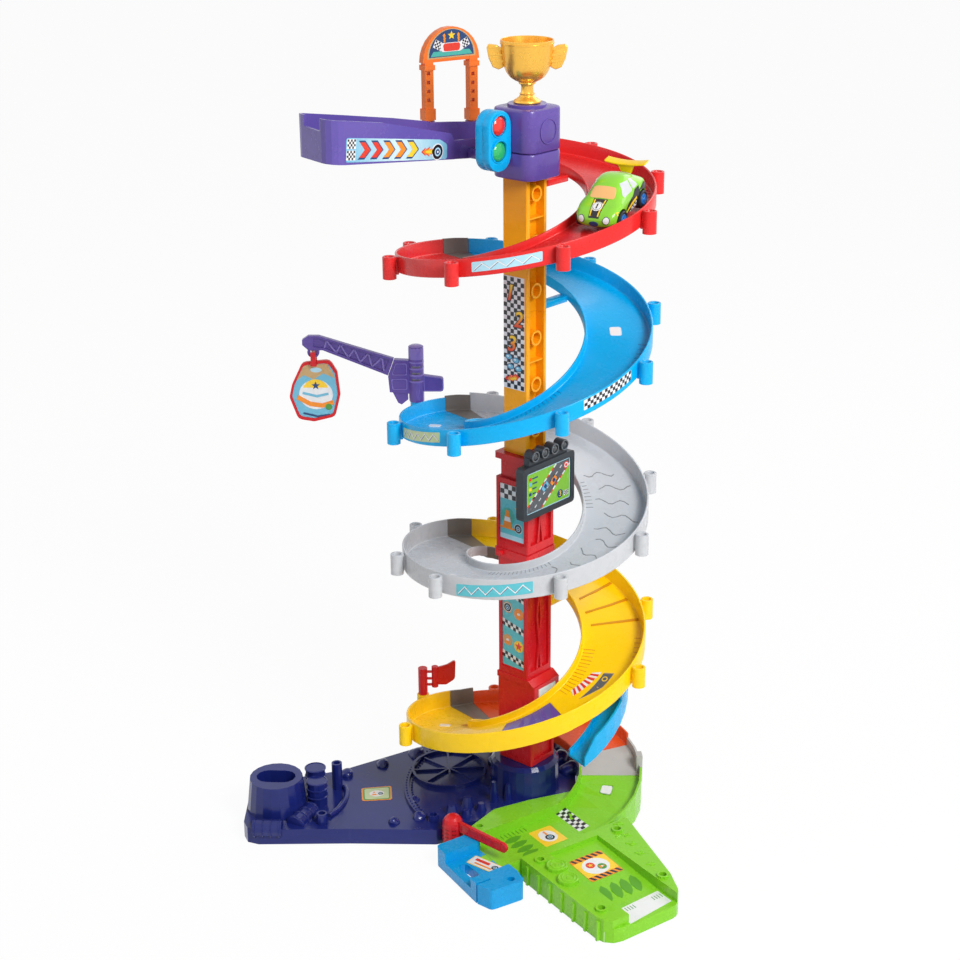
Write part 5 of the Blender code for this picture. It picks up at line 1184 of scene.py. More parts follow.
def yellow_floor_print():
    piece = printed("yellow_floor_print")
    start = 1158.0
    rule = on_floor(start)
    band = [(down_track(1158.9, start), 0.0985), (down_track(1183.2, start), 0.09),
            (down_track(1180.6, start), 0.081), (down_track(1161.6, start), 0.088)]
    lay_bent(piece, band, "white", 0.0003, rule)
    for i in range(6):
        a = 0.04 + 0.16 * i
        lower = [Vector(band[3]).lerp(Vector(band[2]), a), Vector(band[3]).lerp(Vector(band[2]), a + 0.08)]
        upper = [Vector(band[0]).lerp(Vector(band[1]), min(1, a + 0.14)),
                 Vector(band[0]).lerp(Vector(band[1]), min(1, a + 0.06))]
        lay_bent(piece, [tuple(v) for v in (*lower, *upper)], "red", 0.0004, rule)
    shield = [(down_track(a, start), r) for a, r in ((1183.7, 0.0998), (1159.1, 0.1012), (1157.6, 0.113),
                                                     (1169.3, 0.1115))]
    lay_bent(piece, shield, "tan", 0.0003, rule)
    lay_bent(piece, moved(shield, 0.0012, 0.0062, 0.94), "slate", 0.00035, rule)
    lay_bent(piece, disc(down_track(1163.5, start), 0.1066, 0.0034, 18), "yellow", 0.00045, rule)
    lay_bent(piece, disc(down_track(1163.5, start), 0.1066, 0.0022, 18), "slate", 0.00055, rule)
    piece.done("tower", "white")


def board_print():
    """Track map in the board's field: grass, a kerbed road, two cars seen from above, and a list of laps."""
    place = shift(0.0333, 0, 0) @ FACING_X
    piece = printed("board_print")
    lay(piece, oblong((-0.0374, 0.0374), (0.3794, 0.4266), 0.0025), "pale_sky", 0.0003, place)
    lay(piece, oblong((-0.036, 0.036), (0.3806, 0.4254), 0.002), "lime", 0.0004, place)
    road = [(-0.036, 0.3806), (-0.013, 0.3806), (0.036, 0.42), (0.036, 0.4254), (0.013, 0.4254),
            (-0.036, 0.388)]
    lay(piece, road, "slate", 0.0005, place)
    for (x0, y0), (x1, y1) in (((-0.013, 0.3806), (0.036, 0.42)), ((-0.036, 0.388), (0.013, 0.4254))):
        for i in range(12):
            a, b = i / 12, (i + 1) / 12
            kerb = stroke([(x0 + (x1 - x0) * a, y0 + (y1 - y0) * a),
                           (x0 + (x1 - x0) * b, y0 + (y1 - y0) * b)], 0.0009)
            lay(piece, kerb, "white" if i % 2 else "red", 0.0006, place)
    for i in range(7):
        a, b = (i + 0.2) / 7, (i + 0.65) / 7
        line = stroke([(-0.025 + 0.05 * a, 0.3836 + 0.0398 * a), (-0.025 + 0.05 * b, 0.3836 + 0.0398 * b)],
                      0.0006)
        lay(piece, line, "white", 0.0006, place)
    for x, y, tone in ((-0.006, 0.4045, "sky"), (0.0085, 0.4075, "orange")):
        body = moved(oblong((-0.0055, 0.0055), (-0.0032, 0.0032), 0.0018), x, y, 1.0, 0.68)
        lay(piece, body, tone, 0.0008, place)
        glass = moved(oblong((-0.0018, 0.0026), (-0.0024, 0.0024), 0.0009), x, y, 1.0, 0.68)
        lay(piece, glass, "navy", 0.0009, place)
        for along in (-0.0034, 0.0034):
            for across in (-0.0036, 0.0036):
                tyre = oblong((along - 0.0012, along + 0.0012), (across - 0.0009, across + 0.0009))
                lay(piece, moved(tyre, x, y, 1.0, 0.68), "black", 0.0007, place)
    for i, tone in enumerate(("red", "sky", "yellow", "navy", "teal")):
        y = 0.4195 - 0.0058 * i
        lay(piece, oblong((-0.033, -0.029), (y - 0.0018, y + 0.0018), 0.0006), tone, 0.0006, place)
        line = oblong((-0.0275, -0.0275 + 0.009 - 0.0011 * i), (y - 0.0008, y + 0.0008))
        lay(piece, line, "navy", 0.0006, place)
    for radius, tone, lift in ((0.0042, "red", 0.0007), (0.003, "white", 0.0008), (0.0018, "red", 0.0009)):
        lay(piece, disc(0.03, 0.4195, radius), tone, lift, place)
    lay(piece, disc(0.02, 0.3885, 0.0048), "navy", 0.0006, place)
    piece.take(numeral("3", 0.009, 0, 0.0008, place @ shift(0.02, 0.3885, 0)), shade("yellow"))
    flag_picture(piece, 0.0305, 0.387, 0.007, place, 0.0005)
    piece.done("tower", "white")


def board_lamps():
    """A ring and a domed glass in the front of each of the board's four lamps."""
    lying = spin(math.pi / 2, "Y")
    ring = lathed([(0.0046, 0), (0.0046, 0.0009), (0.0052, 0.0013), (0.0059, 0.0009), (0.0061, 0)], 28, lying)
    dome = lathed([(0, 0.0022), (0.0016, 0.002), (0.003, 0.0013), (0.0041, 0.0002), (0.0041, -0.001),
                   (0, -0.001)], 28, lying)
    piece = Piece("board_lamps", FINISH["steel"], FINISH["smoke"])
    first, step = (0.0358, -0.02475, 0.4445), (0, 0.0165, 0)
    piece.take(line_of(ring, first, step, 4), 0)
    piece.take(line_of(dome, (0.035, -0.02475, 0.4445), step, 4), 1)
    piece.done("tower", "charcoal")


def crane_frame():
    """The crane's frame in its post, with X along the jib."""
    return Matrix.Translation(polar(CRANE_POST, POST_RING)) @ spin(math.radians(220))


CRANE_TOP = track_floor(CRANE_POST) + LOW_WALL - 0.001 + 0.0003


def crane_details():
    """Lattice bars in the jib, framed windows in the panel, and bands round the mast, all in a paler violet
    that is painted highlight.
    """
    place = crane_frame() @ UPRIGHT
    top, tip = CRANE_TOP, 0.1265
    lower = [Vector((0.036, top + 0.035)), Vector((tip - 0.0245, top + 0.0625))]
    upper = [Vector((0.03, top + 0.0485)), Vector((tip - 0.0195, top + 0.0735))]
    piece = Piece("crane_lattice", FINISH["violet_highlight"])
    points = []
    for i in range(11):
        edge = lower if i % 2 == 0 else upper
        points.append(tuple(edge[0].lerp(edge[1], i / 10)))
    for first, last in zip(points, points[1:]):
        piece.take(flat(stroke([first, last], 0.0009), -0.0026, 0.0026, place))
    for window in ([(0.01, 0.031), (0.028, 0.031), (0.0228, 0.045), (0.01, 0.045)],
                   [(0.01, 0.014), (0.0272, 0.014), (0.0284, 0.0268), (0.01, 0.0268)]):
        outer = rounded([(x, top + z) for x, z in window], 0.002)
        middle = Vector((0.018, top + 0.5 * (window[0][1] + window[2][1])))
        inner = shrunk(outer, middle, 0.86)
        for low, high in ((-0.0049, -0.0039), (0.0039, 0.0049)):
            piece.take(cake([outer, inner], low, high, 0.0003, place))
    mast = crane_frame()
    for height in (0.0225, 0.03, 0.0375, 0.045):
        piece.take(lathed([(0.008, top + height), (0.0088, top + height + 0.0006),
                           (0.0088, top + height + 0.002), (0.008, top + height + 0.0026)], 28, mast))
    piece.take(lathed([(0.0, top + 0.0655), (0.006, top + 0.0652), (0.008, top + 0.0642),
                       (0.0086, top + 0.0625), (0.0086, top + 0.05), (0.0, top + 0.05)], 28, mast))
    piece.take(bar((-0.0032, 0.003), (-0.0089, -0.007), (top + 0.052, top + 0.062), 0.0005, mast))
    tail = rounded([(-0.03, top + 0.012), (-0.008, top + 0.012), (-0.008, top + 0.0305),
                    (-0.03, top + 0.0272)], [0.003, 0, 0, 0.003])
    middle = Vector((-0.019, top + 0.021))
    inner = shrunk(tail, middle, 0.88)
    for low, high in ((-0.0037, -0.0029), (0.0029, 0.0037)):
        piece.take(cake([tail, inner], low, high, 0.0003, place))
    piece.done("crane", "purple")


def sign_print():
    """Both faces of the hanging sign: sky and hills, and a white ball with a star and plain lines."""
    x, hang = 0.1145, CRANE_TOP + 0.0565
    edge = [(x - 0.018, hang - 0.008), (x + 0.013, hang - 0.011), (x + 0.0255, hang - 0.037),
            (x + 0.029, hang - 0.052), (x + 0.02, hang - 0.078), (x + 0.002, hang - 0.081),
            (x - 0.022, hang - 0.075), (x - 0.0285, hang - 0.049), (x - 0.026, hang - 0.022)]
    middle = Vector((x, hang - 0.045))
    outline = shrunk(rounded(edge, 0.007, 4), middle, 0.895)
    piece = printed("sign_print")
    for face in (-1, 1):
        place = crane_frame() @ UPRIGHT

        def ink_on(shape, tone, layer):
            low, high = 0.0011, 0.0013 + 0.0001 * layer
            piece.take(flat(shape, *((low, high) if face > 0 else (-high, -low)), place), shade(tone))

        ink_on(outline, "sky", 0)
        hills = [(x - 0.0235, hang - 0.03), (x - 0.01, hang - 0.024), (x + 0.001, hang - 0.031),
                 (x + 0.012, hang - 0.026), (x + 0.0205, hang - 0.033), (x + 0.0112, hang - 0.0145),
                 (x - 0.015, hang - 0.0125)]
        ink_on(hills, "tan", 1)
        ink_on(disc(x - 0.002, hang - 0.02, 0.0065, 16, 0.45), "pale_sky", 2)
        ink_on(disc(x - 0.001, hang - 0.049, 0.019, 28, 0.92), "white", 2)
        ink_on(arc((x - 0.001, hang - 0.046), 0.015, 20, 160, 16), "yellow", 3)
        ink_on(star(x - 0.001, hang - 0.0385, 0.0052), "navy", 4)
        band = [(x - 0.0205, hang - 0.058), (x - 0.008, hang - 0.062), (x + 0.006, hang - 0.06),
                (x + 0.02, hang - 0.052)]
        ink_on(stroke(band, 0.0026), "orange", 5)
        upper = [(x - 0.015, hang - 0.048), (x - 0.002, hang - 0.051), (x + 0.014, hang - 0.047)]
        ink_on(stroke(upper, 0.0014), "sky", 6)
        lower = [(x - 0.016, hang - 0.073), (x - 0.002, hang - 0.075), (x + 0.014, hang - 0.071)]
        ink_on(stroke(lower, 0.001), "navy", 5)
        ink_on(disc(x - 0.015, hang - 0.0635, 0.0038), "leaf", 6)
    piece.done("sign", "sign_red")


def base_prints():
    """Prints on the green exit, the ramp, the adapter and the dark base."""
    lane = BASE_FRAME @ shift(0, 0, LANE_TOP)
    piece = printed("exit_prints")

    def over_exit(spot):
        """The lane is level up to the curve and then rises with it."""
        here = BASE_FRAME @ Vector((spot.x, spot.y, 0))
        angle = math.degrees(math.atan2(here.x, here.y)) + 1440
        return Vector((here.x, here.y, (track_floor(angle) if angle < 1545 else LANE_TOP) + spot.z))

    for low in (-0.0033, 0.0014, 0.0061):
        lay_bent(piece, oblong((0.06, 0.1115), (low, low + 0.0047)), "white", 0.0003, over_exit)
    piece.take(bent(checker(11, 3, 0.0047, 0.0004, shift(0.0857, 0.00375, 0)), over_exit, 0.1),
               shade("black"))
    note = lane @ shift(0.0995, -0.038, 0)
    lay(piece, oblong((-0.0175, 0.0175), (-0.015, 0.015), 0.002), "yellow", 0.0003, note)
    lay(piece, disc(0, 0, 0.012, 28, 0.86), "white", 0.0004, note)
    wheel_picture(piece, 0.0035, 0.0005, 0.0062, note, 0.0004)
    lay(piece, moved(FLAME, -0.0065, 0.0005, 0.0045), "orange", 0.0006, note)
    height = RAMP_HEIGHT - (0.189 - RAMP_START) * 0.0657 + 0.00005
    ramp = BASE_FRAME @ shift(0.189, -0.038, height) @ spin(RAMP_SLOPE, "Y")
    lay(piece, oblong((-0.0215, 0.0215), (-0.0215, 0.0215), 0.002), "orange", 0.0003, ramp)
    lay(piece, oblong((-0.014, 0.014), (-0.021, 0.021)), "yellow", 0.00035, ramp)
    for side in (-1, 1):
        for i in range(6):
            y = -0.0205 + 0.0069 * i
            x0, x1 = sorted((side * 0.0145, side * 0.021))
            rise, reach = (0.0035, 0.007) if y + 0.007 < 0.0212 else (0.003, 0.0055)
            stripe = [(x0, y), (x1, y + rise), (x1, y + reach), (x0, y + rise)]
            lay(piece, stripe, "black", 0.0004, ramp)
    lay(piece, disc(0, 0, 0.014, 28, 1.15), "white", 0.00045, ramp)
    lay(piece, disc(-0.0035, -0.005, 0.0052, 20), "red", 0.0006, ramp)
    lay(piece, disc(0.004, 0.0055, 0.0052, 20), "leaf", 0.0006, ramp)
    lay(piece, star(-0.0035, -0.005, 0.0034), "yellow", 0.0007, ramp)
    cone_picture(piece, 0.004, 0.0055, 0.007, ramp, 0.0006)
    end = BASE_FRAME @ shift(0, 0, 0.01502)
    lay(piece, [(0.264, -0.061), (0.26, -0.009), (0.2835, -0.009), (0.2925, -0.076)], "white", 0.0003, end)
    for y in (-0.058, -0.0545, -0.051, -0.0475, -0.022, -0.0185, -0.015, -0.0115):
        lay(piece, oblong((0.2655, 0.272), (y - 0.0005, y + 0.0005)), "leaf", 0.0004, end)
    piece.done("tower", "white")
    piece = printed("adapter_print")
    spot = BASE_FRAME @ shift(0.1085, -0.129, 0.01215) @ spin(math.radians(18))
    lay(piece, oblong((-0.02, 0.02), (-0.0085, 0.0085), 0.0015), "yellow", 0.0003, spot)
    lay(piece, oblong((-0.0188, 0.0188), (-0.0075, 0.0075), 0.0012), "white", 0.0004, spot)
    lay(piece, oblong((-0.015, 0.004), (0.0005, 0.005), 0.001), "red", 0.0005, spot)
    lay(piece, oblong((-0.012, 0.011), (-0.005, -0.0025), 0.0005), "orange", 0.0005, spot)
    wheel_picture(piece, 0.0125, 0.001, 0.0045, spot, 0.0004)
    piece.done("tower", "white")
    piece = printed("base_print")
    corners = [(-0.14, -0.131), (-0.119, -0.151), (-0.095, -0.126), (-0.117, -0.104)]
    middle = Vector((-0.1178, -0.128))
    for share, tone, lift in ((1.0, "orange", 0.0003), (0.9, "leaf", 0.0004), (0.8, "pale_green", 0.0005)):
        shape = shrunk(rounded(corners, 0.003), middle, share)
        lay(piece, shape, tone, lift, shift(0, 0, BASE_TOP))
    seat = shift(*middle, BASE_TOP) @ spin(math.radians(48))
    lay(piece, disc(0, 0, 0.0085, 24, 0.8), "white", 0.0006, seat)
    cone_picture(piece, -0.003, 0.0, 0.008, seat, 0.0006)
    wheel_picture(piece, 0.0045, -0.001, 0.0034, seat, 0.0006)
    piece.done("tower", "white")


# Raised lines and reliefs on the plastic

def tick_rows(piece, stage, step, *rows):
    """Short radial lines along the edges of a running surface: first angle, count, and reach of each row."""
    for first, count, inner, outer in rows:
        line = bar((inner, outer), (-0.00035, 0.00035), (-0.0006, 0.00035), 0.0001, segments=1)
        piece.take(row(line, first, step, count, stage))


def track_lines():
    """Edge ticks, cracks, ribs and leaf marks on the running surfaces, as raised lines whose darker colour is
    painted shade: on the toy they are grooves cut into the plastic.
    """
    piece = Piece("red_lines", FINISH["red_groove_shade"])
    tick_rows(piece, RED_STAGE, 4.2, (60, 9, 0.0685, 0.076), (196, 7, 0.0685, 0.076), (20, 8, 0.1235, 0.1315))
    piece.done("tower", "red")
    piece = Piece("blue_lines", FINISH["blue_groove_shade"])
    tick_rows(piece, BLUE_STAGE, 3.6, (470, 17, 0.0675, 0.0765), (418, 10, 0.1215, 0.132),
              (556, 8, 0.1225, 0.132))
    piece.done("tower", "cyan")
    piece = Piece("grey_lines", FINISH["grey_groove_shade"])
    tick_rows(piece, GREY_STAGE, 3.6, (838, 16, 0.068, 0.075), (742, 8, 0.068, 0.076), (896, 6, 0.12, 0.129))
    for i, angle in enumerate((738, 751, 763, 776, 789, 801, 814, 827, 840)):
        inner, outer = (0.088, 0.126) if i % 2 else (0.08, 0.116)
        points = [(0.0035 * math.sin(k * 1.15 + i * 1.9) + 0.0009 * (k - 4), inner + (outer - inner) * k / 8)
                  for k in range(9)]
        piece.take(bent(flat(stroke(points, 0.0005), -0.0005, 0.0004), on_floor(angle), 0.003))
    piece.done("tower", "grey")
    piece = Piece("yellow_lines", FINISH["yellow_groove_shade"])
    tick_rows(piece, YELLOW_STAGE, 3.3, (1142, 14, 0.068, 0.081), (1131, 5, 0.1245, 0.132),
              (1320, 6, 0.069, 0.076))
    for first, last in (((1093.4, 0.079), (1089.5, 0.133)), ((1107.0, 0.076), (1103.0, 0.1335)),
                        ((1119.5, 0.077), (1118.0, 0.1335))):
        start = first[0]
        points = [(0, first[1]), (down_track(last[0], start), last[1])]
        piece.take(bent(flat(stroke(points, 0.0011), -0.0005, 0.0012), on_floor(start), 0.003))
    piece.done("tower", "yellow")
    piece = Piece("green_lines", FINISH["green_groove_shade"])
    for i in range(10):
        for first, reach in ((-0.098, (0.069, 0.077)), (-0.09, (0.1255, 0.133))):
            place = BASE_FRAME @ shift(0, first + 0.0052 * i, LANE_TOP)
            piece.take(flat(oblong(reach, (-0.0004, 0.0004)), -0.0004, 0.00035, place))
    leaf = [(-1, 0), (-0.6, 0.28), (0, 0.4), (0.6, 0.26), (1, 0), (0.6, -0.26), (0, -0.4), (-0.6, -0.28)]
    lane = BASE_FRAME @ shift(0, 0, LANE_TOP)
    for x, y in ((0.083, -0.0745), (0.0945, -0.074), (0.106, -0.0735), (0.1165, -0.074), (0.126, -0.0745)):
        piece.take(flat(moved(leaf, x, y, 0.0125, 1.72), -0.0003, 0.0003, lane))
    bed = BASE_FRAME @ shift(RAMP_START, 0, RAMP_HEIGHT) @ spin(RAMP_SLOPE, "Y")
    for x, y in ((0.0862, -0.059), (0.0865, -0.045), (0.087, -0.0325), (0.0875, -0.02)):
        piece.take(flat(moved(leaf, x, y, 0.015, -0.24), -0.0003, 0.0003, bed))
    piece.done("tower", "green")


def base_relief():
    """Rivets along the curved rim, rocks beside the hub, a bent pipe, and bands round the barrels."""
    level = (0, 720, BASE_TOP, BASE_TOP, 0.0, 0.0)
    piece = Piece("base_relief", FINISH["navy"])
    rivet = lathed([(0, 0.0018), (0.0009, 0.0014), (0.0014, 0.0), (0, -0.0005)], 10, shift(0.1325, 0, 0))
    piece.take(row(rivet, 199, 2.5, 28, level))
    rivet = lathed([(0, 0.0047), (0.0009, 0.0043), (0.0013, 0.003), (0, 0.002)], 10, shift(0.139, 0, 0))
    piece.take(row(rivet, 199, 2.5, 28, level))
    rocks = ((-0.058, 0.02, 0.012, 1), (-0.052, 0.044, 0.013, 2), (-0.028, 0.06, 0.012, 3),
             (-0.006, 0.074, 0.012, 4), (0.02, 0.058, 0.013, 5), (-0.145, -0.03, 0.01, 6),
             (-0.14, 0.01, 0.011, 7), (-0.03, 0.088, 0.009, 8), (-0.062, 0.072, 0.011, 9),
             (-0.16, -0.075, 0.008, 10), (-0.06, -0.16, 0.007, 11), (-0.176, -0.118, 0.008, 12),
             (-0.085, 0.05, 0.01, 13), (0.001, 0.05, 0.008, 14), (-0.045, -0.135, 0.008, 15),
             (-0.075, -0.11, 0.006, 16))
    for x, y, radius, seed in rocks:
        rock = bmesh.new()
        bmesh.ops.create_icosphere(rock, subdivisions=3, radius=radius)
        for vert in rock.verts:
            push = noise.noise(vert.co * (1.6 / radius) * 0.5 + Vector((seed * 3.7, 0, 0)))
            vert.co *= 1 + 0.34 * push
            vert.co.z = max(vert.co.z * 0.9, -0.004)
        rock.transform(shift(x, y, BASE_TOP))
        piece.take(rock)
    pipe = bpy.data.curves.new("pipe", "CURVE")
    pipe.dimensions = "3D"
    pipe.bevel_depth = 0.0032
    pipe.bevel_resolution = 4
    pipe.use_fill_caps = True
    line = pipe.splines.new("BEZIER")
    spots = ((-0.156, -0.142), (-0.145, -0.15), (-0.127, -0.18), (-0.123, -0.2))
    line.bezier_points.add(len(spots) - 1)
    for point, (x, y) in zip(line.bezier_points, spots):
        point.co = (x, y, 0.0205)
        point.handle_left_type = point.handle_right_type = "AUTO"
    piece.take(welded(held("pipe", pipe), 0.000005))
    for x, y, radius, heights in ((-0.174, -0.171, 0.0115, (0.03, 0.041, 0.0505)),
                                  (-0.156, -0.186, 0.0115, (0.028, 0.038, 0.0465))):
        for height in heights:
            piece.take(lathed([(radius - 0.0005, height), (radius + 0.0009, height + 0.0006),
                               (radius + 0.0009, height + 0.0016), (radius - 0.0005, height + 0.0022)], 28,
                              shift(x, y, 0)))
    for x, y, radius, length, turned in ((-0.161, -0.26, 0.01, 0.033, 38),
                                         (-0.146, -0.219, 0.011, 0.038, 105)):
        lie = shift(x, y, 0.0177) @ spin(math.radians(turned)) @ spin(math.pi / 2, "Y")
        for share in (-0.42, -0.14, 0.14, 0.42):
            piece.take(lathed([(radius - 0.0005, -0.001), (radius + 0.0009, -0.0005),
                               (radius + 0.0009, 0.0005), (radius - 0.0005, 0.001)], 24,
                              lie @ shift(0, 0, share * length)))
    piece.done("tower", "navy")


def pod_details():
    """A visor over each light and a raised ring round its opening."""
    piece = Piece("light_visors", FINISH["cyan"])
    for z in LIGHT_HEIGHTS:
        spot = shift(0, LIGHT_Y, z) @ FACING_X
        hood = arc((0, 0), 0.0122, 30, 150, 16) + arc((0, 0), 0.0107, 150, 30, 16)
        piece.take(cake([hood], 0.005, 0.0084, 0.0005, spot))
        ring = [arc((0, 0), 0.0121, 0, 350, 35), arc((0, 0), 0.0106, 0, 350, 35)]
        piece.take(cake(ring, 0.0052, 0.007, 0.0004, spot))
    piece.done("tower", "cyan")


def cup_details():
    """Ribs on the cup's wings and rings round its bowl and stem."""
    axis = shift(HEAD_X, 0, CUP_FOOT)
    middle = axis @ spin(CUP_TURN)
    piece = Piece("cup_ribs", FINISH["gold"])
    for side in (-1, 1):
        for line in ([(0.0225, 0.053), (0.03, 0.0555), (0.039, 0.057)],
                     [(0.0215, 0.0475), (0.03, 0.049), (0.0385, 0.05)],
                     [(0.0205, 0.042), (0.029, 0.0425), (0.0365, 0.0435)]):
            points = [(side * x, z) for x, z in line]
            piece.take(flat(stroke(points, 0.0012), -0.0036, 0.0036, middle @ UPRIGHT))
    piece.take(lathed([(0.0262, 0.059), (0.0277, 0.0596), (0.0279, 0.0608), (0.0262, 0.0614)], 56, axis))
    piece.take(lathed([(0.006, 0.0185), (0.0084, 0.019), (0.0088, 0.02), (0.0084, 0.0212), (0.006, 0.0216)],
                      40, axis))
    piece.take(lathed([(0.006, 0.008), (0.0078, 0.0084), (0.008, 0.0094), (0.006, 0.01)], 40, axis))
    piece.done("tower", "gold")


def barrier_details():
    spot = BASE_FRAME @ shift(0.041, -0.1275, 0)
    # The short lines on the drum are raised in a darker red that is painted shade of grooves; the frame and
    # its ribs are plain red.
    piece = Piece("barrier_lines", FINISH["red_groove_shade"], FINISH["red"])
    for i in range(4):
        for turned in (200, 245, 290, 335):
            place = spot @ spin(math.radians(turned))
            piece.take(bar((0.0108, 0.0118), (-0.0026, 0.0026), (0.012 + 0.0048 * i, 0.0138 + 0.0048 * i),
                           0.0003, place), 0)
    swing = spot @ spin(-BASE_TURN) @ spin(math.radians(-1)) @ UPRIGHT
    frame_bar = [(0.014, 0.0262), (0.074, 0.0262), (0.074, 0.0342), (0.014, 0.036)]
    inner = [(0.0152, 0.0272), (0.0728, 0.0272), (0.0728, 0.0332), (0.0152, 0.035)]
    for low, high in ((-0.0027, -0.0018), (0.0018, 0.0027)):
        piece.take(cake([frame_bar, inner], low, high, 0.0002, swing), 1)
    for x in (0.026, 0.038, 0.05, 0.062):
        rib = oblong((x - 0.0005, x + 0.0005), (0.0272, 0.0338))
        for low, high in ((-0.0026, -0.0018), (0.0018, 0.0026)):
            piece.take(flat(rib, low, high, swing), 1)
    piece.done("barrier", "red")


def green_relief():
    """Low reliefs of desert plants and two ringed knobs on the ramp's border."""
    piece = Piece("green_relief", FINISH["green"])
    for x, y, size, turned in ((0.144, 0.027, 1.0, 0.4), (0.1673, 0.02, 0.9, 0.1), (0.1654, 0.0106, 0.8, 1.3),
                               (0.1841, 0.0138, 1.0, 0.3), (0.2047, 0.0095, 0.9, 0.2),
                               (0.229, 0.006, 0.9, 0.5)):
        spot = BASE_FRAME @ shift(x, y, 0.0265) @ spin(turned - 0.9) @ Matrix.Scale(size, 4)
        piece.take(bar((-0.0011, 0.0011), (-0.006, 0.0065), (-0.001, 0.0016), 0.0008, spot))
        piece.take(bar((-0.0042, -0.0026), (-0.0005, 0.0045), (-0.001, 0.0014), 0.0006, spot))
        piece.take(bar((0.0026, 0.0042), (-0.0015, 0.003), (-0.001, 0.0014), 0.0006, spot))
        piece.take(bar((-0.0042, 0.0042), (-0.0014, 0.0), (-0.001, 0.0013), 0.0005, spot))
    for x, y in ((0.1763, -0.0815), (0.2038, -0.0865)):
        spot = BASE_FRAME @ shift(x, y, 0.0305)
        for radius in (0.0103, 0.0066):
            piece.take(lathed([(radius - 0.0008, -0.001), (radius - 0.0008, 0.0004), (radius, 0.0008),
                               (radius + 0.0008, 0.0004), (radius + 0.0008, -0.001)], 32, spot))
        piece.take(lathed([(0, 0.0009), (0.0018, 0.0007), (0.0026, -0.001), (0, -0.001)], 20, spot))
    piece.done("tower", "green")


def head_pieces():
    """The head's two halves with their soft edges, the cup's seat and the bare round badge."""
    footprint = oblong((-0.025, 0.031), (-0.028, 0.028), 0.0135, 8)
    lower = Piece("head_bottom", FINISH["purple"])
    lower.take(cake([footprint], 0.7413, 0.76885, 0.002))
    lower.take(bar((-0.0649, -0.023), (-0.017, -0.003), (0.7535, 0.7625), 0.0006))
    lower.done("tower", "purple", "head_lower")
    upper = Piece("head_top", FINISH["purple"])
    upper.take(cake([footprint], 0.76915, 0.8135, 0.0026))
    upper.take(lathed([(0, 0.813), (0.0205, 0.813), (0.0205, 0.8159), (0.0199, 0.8165), (0.0165, 0.8165),
                       (0, 0.8165)], 56, shift(HEAD_X, 0, 0)))
    face = shift(0, 0, 0.7905) @ FACING_X
    upper.take(cake([disc(0, 0, 0.0132, 48), disc(0, 0, 0.0119, 48)], 0.0304, 0.0322, 0.0005, face))
    upper.take(cake([disc(0, 0, 0.0122, 48)], 0.0304, 0.0314, 0.0003, face))
    upper.done("tower", "purple", "head_upper")


def pod_pieces():
    """Light housing with two deep round openings, and the two domed lenses in them."""
    outline = oblong((-0.0633, -0.0283), (0.7525, 0.8145), 0.0165, 8)
    holes = [disc(LIGHT_Y, z, 0.0104, 40) for z in LIGHT_HEIGHTS]
    pod = Piece("pod_housing", FINISH["cyan"])
    pod.take(cake([outline], -0.013, -0.003, 0.0014, FACING_X))
    pod.take(cake([outline, *holes], -0.0045, 0.006, 0.0016, FACING_X))
    pod.take(bar((-0.01, 0.002), (-0.03, -0.0283), (0.762, 0.8), 0.0005))
    pod.done("tower", "cyan", "light_pod")
    lens = [(0, -0.006), (0.003, -0.006), (0.003, 0.0002), (0.0101, 0.0002), (0.0101, 0.0045),
            (0.0097, 0.0058), (0.0085, 0.0071), (0.006, 0.0083), (0.003, 0.0089), (0, 0.009)]
    for z, colour in zip(LIGHT_HEIGHTS, ("red", "green")):
        name, body, finish = "lens_" + colour, colour + "_button", "lamp_" + colour
        piece = Piece(name + "_dome", FINISH[finish])
        spot = shift(0, LIGHT_Y, z) @ spin(math.pi / 2, "Y")
        piece.take(lathed(lens, 40, spot))
        for ring in (0.003, 0.0058):
            count = int(ring * 2400)
            for k in range(count):
                bead = spot @ spin(2 * math.pi * k / count) @ shift(ring, 0, 0.0085 - ring * 0.1)
                piece.take(lathed([(0, 0.0008), (0.0006, 0.0005), (0.0009, -0.0004), (0, -0.0006)], 8, bead))
        piece.done(body, finish, name)


def cup_piece():
    """The gold cup: a deep round bowl on a thin stem and a flared foot, with a wing on each side."""
    axis = shift(HEAD_X, 0, CUP_FOOT)
    outside = [(0, 0.0002), (0.0138, 0.0002), (0.0142, 0.001), (0.0136, 0.0025), (0.011, 0.0042),
               (0.0085, 0.006), (0.007, 0.0082), (0.0064, 0.011), (0.0062, 0.016), (0.0068, 0.019),
               (0.009, 0.021), (0.0135, 0.023), (0.018, 0.0262), (0.0215, 0.031), (0.024, 0.037),
               (0.0255, 0.044), (0.0264, 0.052), (0.027, 0.059), (0.0274, 0.0625), (0.0274, 0.0634),
               (0.0268, 0.0637)]
    inside = [(0.026, 0.0632), (0.0254, 0.056), (0.0244, 0.045), (0.0222, 0.036), (0.017, 0.0292),
              (0.01, 0.0268), (0, 0.0262)]
    piece = Piece("cup", FINISH["gold"])
    piece.take(lathed(outside + inside, 72, axis))
    middle = axis @ spin(CUP_TURN)
    wing = [(0.0238, 0.036), (0.029, 0.0335), (0.035, 0.036), (0.0392, 0.045), (0.0412, 0.056),
            (0.039, 0.059), (0.031, 0.058), (0.0266, 0.055)]
    for side in (-1, 1):
        outline = rounded([(x * side, z) for x, z in (wing if side > 0 else wing[::-1])], 0.0012, 3)
        piece.take(cake([outline], -0.003, 0.003, 0.0008, middle @ UPRIGHT))
    piece.done("tower", "gold", "trophy", smooth=50)


